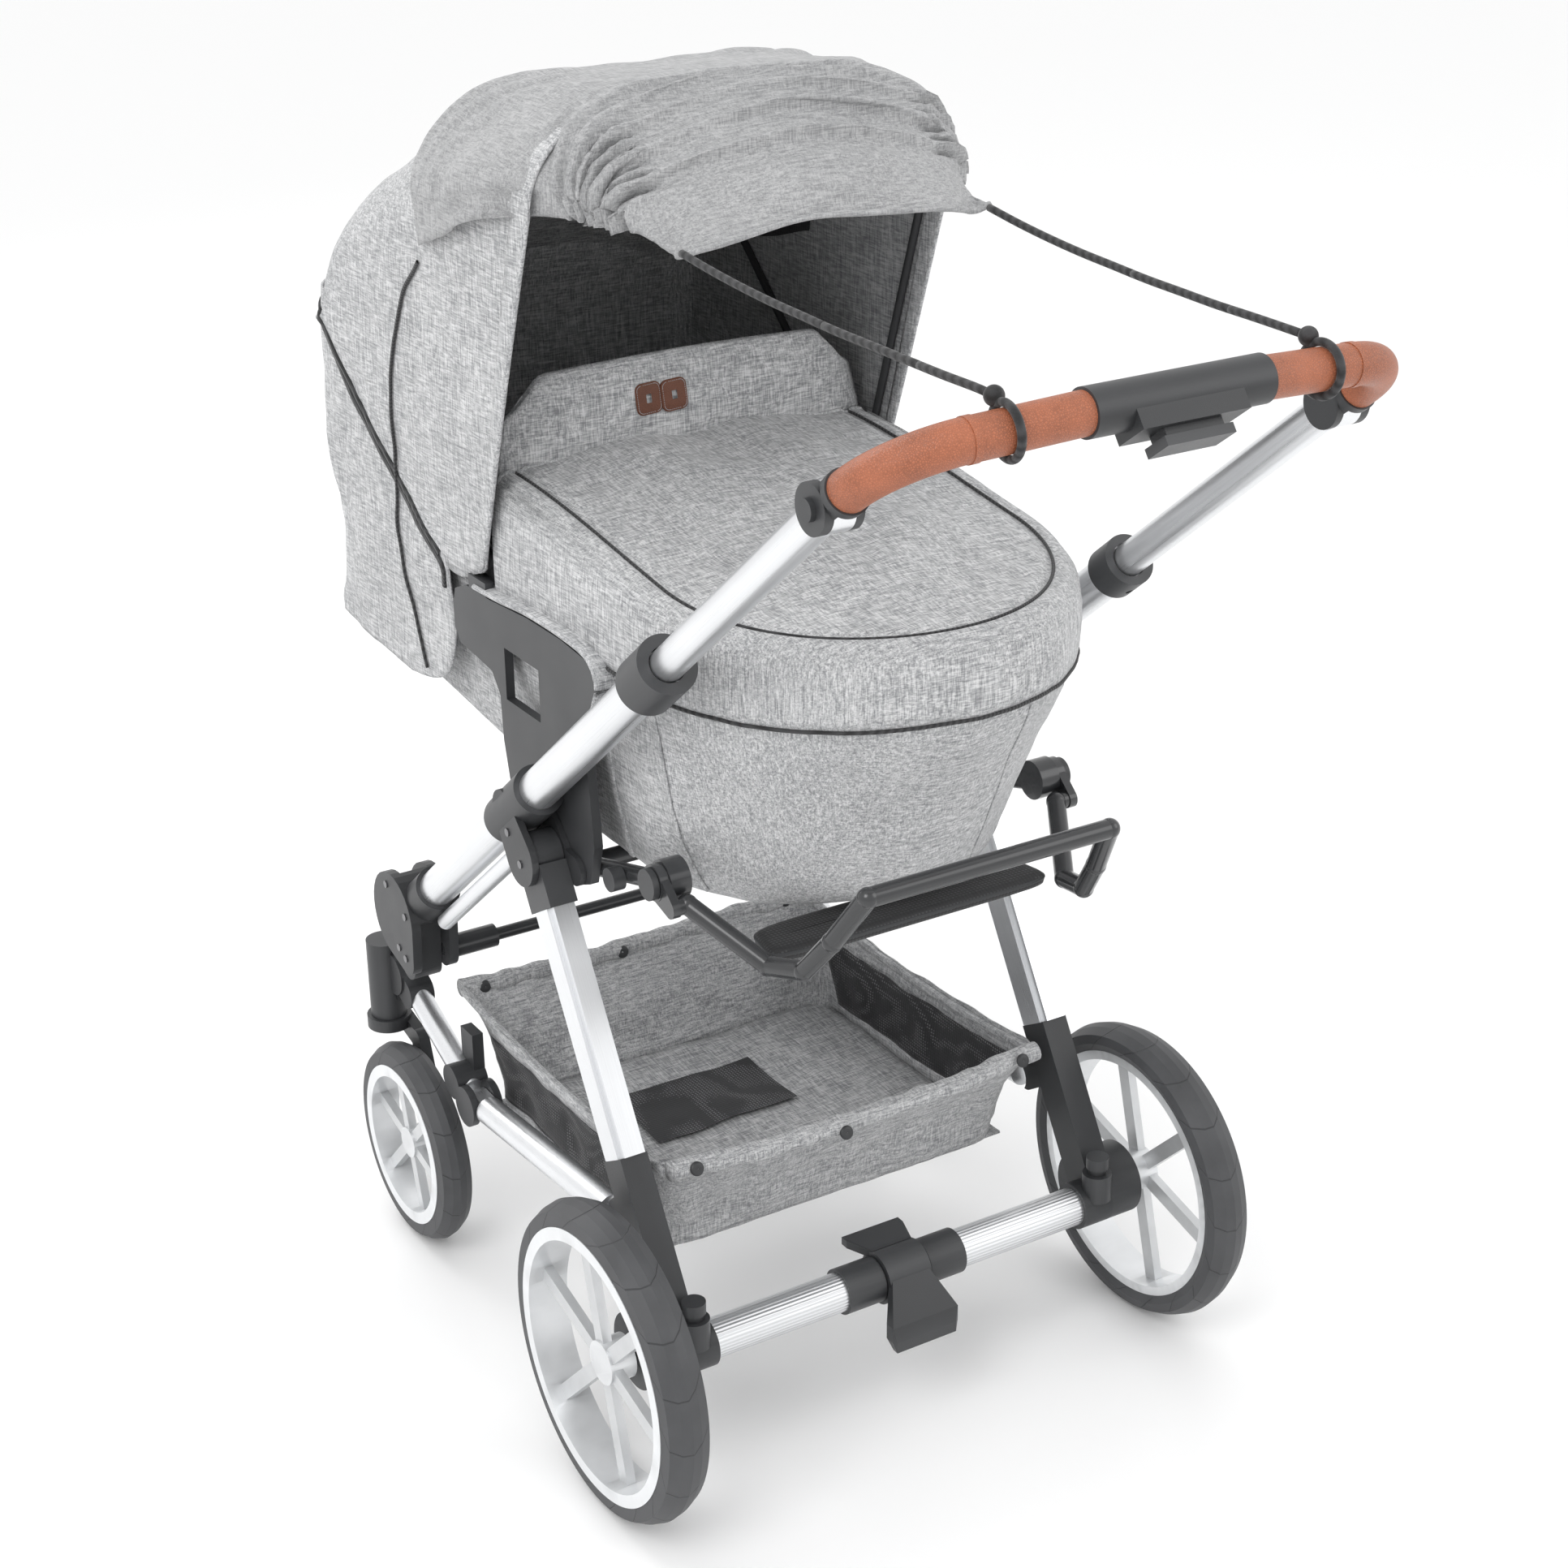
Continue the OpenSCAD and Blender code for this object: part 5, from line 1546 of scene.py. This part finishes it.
@dataclass
class LegRestPad:
    """Crowned net pad between the rails of the leg rest, with a piped edge."""

    front_half: float = 0.126
    back_half: float = 0.1346
    middle: float = 0.014
    half_length: float = 0.026
    squareness: float = 0.28

    def outline(self, inset: float, height: float) -> list[Vector]:
        """One closed outline of the pad.

        Args:
            inset: Distance in from the pad's edge.
            height: Height above the floor.

        Returns:
            Points round the pad.
        """
        points = []
        for turn in np.linspace(0, 2 * math.pi, 96, endpoint=False):
            across, along = math.cos(turn), math.sin(turn)
            across = math.copysign(abs(across) ** self.squareness, across)
            along = math.copysign(abs(along) ** self.squareness, along)
            half = self.front_half + (self.back_half - self.front_half) * (along + 1) / 2
            points.append(
                at(across * (half - inset), self.middle + along * (self.half_length - inset), height)
            )
        return points

    def build(self) -> list[bpy.types.Object]:
        """Builds the pad and its piping as one piece.

        Returns:
            The pad.
        """
        rows = [
            self.outline(inset, height)
            for inset, height in (
                (0.0255, 0.4716), (0.012, 0.4715), (0.004, 0.4713), (0.0012, 0.4730), (0.0004, 0.4770),
                (0.0012, 0.4802), (0.0036, 0.4820), (0.0080, 0.4828), (0.0150, 0.4830), (0.0255, 0.4830),
            )
        ]
        pad = grid("leg_rest_cover", rows, PAD_NET, loop_v=True)
        piping = hose("leg_rest_piping", self.outline(0.0014, 0.4782), 0.0017, PLASTIC_SOFT, closed=True)
        made = join("leg_rest_cover", [pad, piping])
        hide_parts("leg_rest_pad")
        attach(made, "leg_rest")
        return [made]


@dataclass
class Studio:
    """Camera, floor and lights."""

    place: Triple = (1.1179, 1.8203, 1.4621)
    lens: float = 63.49

    def camera(self) -> None:
        """Camera at the measured viewpoint."""
        cam = bpy.data.cameras.new("view")
        cam.lens = self.lens
        cam.sensor_width = 36.0
        cam.clip_start = 0.05
        obj = bpy.data.objects.new("view", cam)
        right = Vector((-0.8501745, 0.52637137, -0.01168381))
        down = Vector((0.22092605, 0.33651218, -0.91539676))
        ahead = Vector((-0.4779069, -0.78082824, -0.40238322))
        m = Matrix((right, -down, -ahead)).transposed().to_4x4()
        m.translation = Vector(self.place)
        obj.matrix_world = m
        bpy.context.scene.collection.objects.link(obj)
        bpy.context.scene.camera = obj

    def lamp(self, name: str, place: Triple, aim: Triple, size: float, power: float) -> None:
        """One soft area light."""
        light = bpy.data.lights.new(name, "AREA")
        light.shape = "DISK"
        light.size = size
        light.energy = power
        obj = bpy.data.objects.new(name, light)
        obj.location = place
        obj.rotation_euler = (Vector(aim) - Vector(place)).to_track_quat("-Z", "Y").to_euler()
        bpy.context.scene.collection.objects.link(obj)

    def build(self) -> None:
        """Floor, world and lamps."""
        self.camera()
        mesh = bpy.data.meshes.new("floor")
        mesh.from_pydata(
            [(-9, -9, -0.0005), (9, -9, -0.0005), (9, 9, -0.0005), (-9, 9, -0.0005)], [], [(0, 1, 2, 3)]
        )
        mesh.materials.append(FLOOR.material())
        floor = bpy.data.objects.new("floor", mesh)
        bpy.context.scene.collection.objects.link(floor)
        world = bpy.data.worlds.new("studio")
        bpy.context.scene.world = world
        world.use_nodes = True
        world.node_tree.nodes["Background"].inputs[0].default_value = (1, 1, 1, 1)
        world.node_tree.nodes["Background"].inputs[1].default_value = 1.02
        self.lamp("key", (2.6, 1.6, 3.4), (0, 0, 0.5), 2.2, 55)
        self.lamp("fill", (-2.8, 2.4, 2.4), (0, 0, 0.5), 2.6, 26)
        self.lamp("rim", (0.6, -3.0, 2.6), (0, 0, 0.6), 2.0, 30)
        bpy.context.scene.view_settings.view_transform = "Standard"


@dataclass
class FrameFinishes:
    """Finishes of the rigid pieces that come straight from the CAD."""

    by_node: dict[str, Finish] = field(
        default_factory=lambda: {
            **{
                n: MAIN_METAL
                for n in (
                    "main_tube_left", "main_tube_right", "push_tube_left", "push_tube_right",
                    "coupling_tubes"
                )
            },
            **{n: LEG_METAL for n in ("rear_leg_left", "rear_leg_right")},
            **{n: CROSS_METAL for n in ("axle_tubes",)},
            **{n: Anodised("satin_side_tube", along=1) for n in ("lower_tubes", "front_struts")},
            **{
                n: RIM_PAINT for n in ("rear_rim_left", "rear_rim_right", "front_rim_left", "front_rim_right")
            },
            **{n: TYRE for n in ("rear_tyre_left", "rear_tyre_right")},
            **{n: FRONT_TYRE for n in ("front_tyre_left", "front_tyre_right")},
            **{n: BLACK_TUBE for n in ("cross_rod", "seat_tubes", "leg_rest_frame")},
            "bar_grips": LEATHER,
            "frame_screws": SCREW,
            "cord_loops": CORD,
            "front_bow": PLASTIC_SOFT,
            "rear_bow": PLASTIC_SOFT,
        }
    )

    def dress(self, nodes: dict[str, bpy.types.Object]) -> None:
        """Gives every CAD node its finish."""
        for name, obj in nodes.items():
            finish = self.by_node.get(name, PLASTIC)
            obj.data.materials.clear()
            obj.data.materials.append(finish.material())


def main() -> None:
    """Builds the stroller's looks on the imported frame."""
    logging.basicConfig(level=logging.INFO, format="%(message)s")
    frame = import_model()
    Studio().build()
    FrameFinishes().dress(frame["nodes"])
    for maker in (Hood(), Sail(), SailCords(), Carrycot(), Basket(), LegRestPad()):
        made = maker.build()
        LOG.info("%s: %d pieces", type(maker).__name__, len(made))


if __name__ == "__main__":
    main()
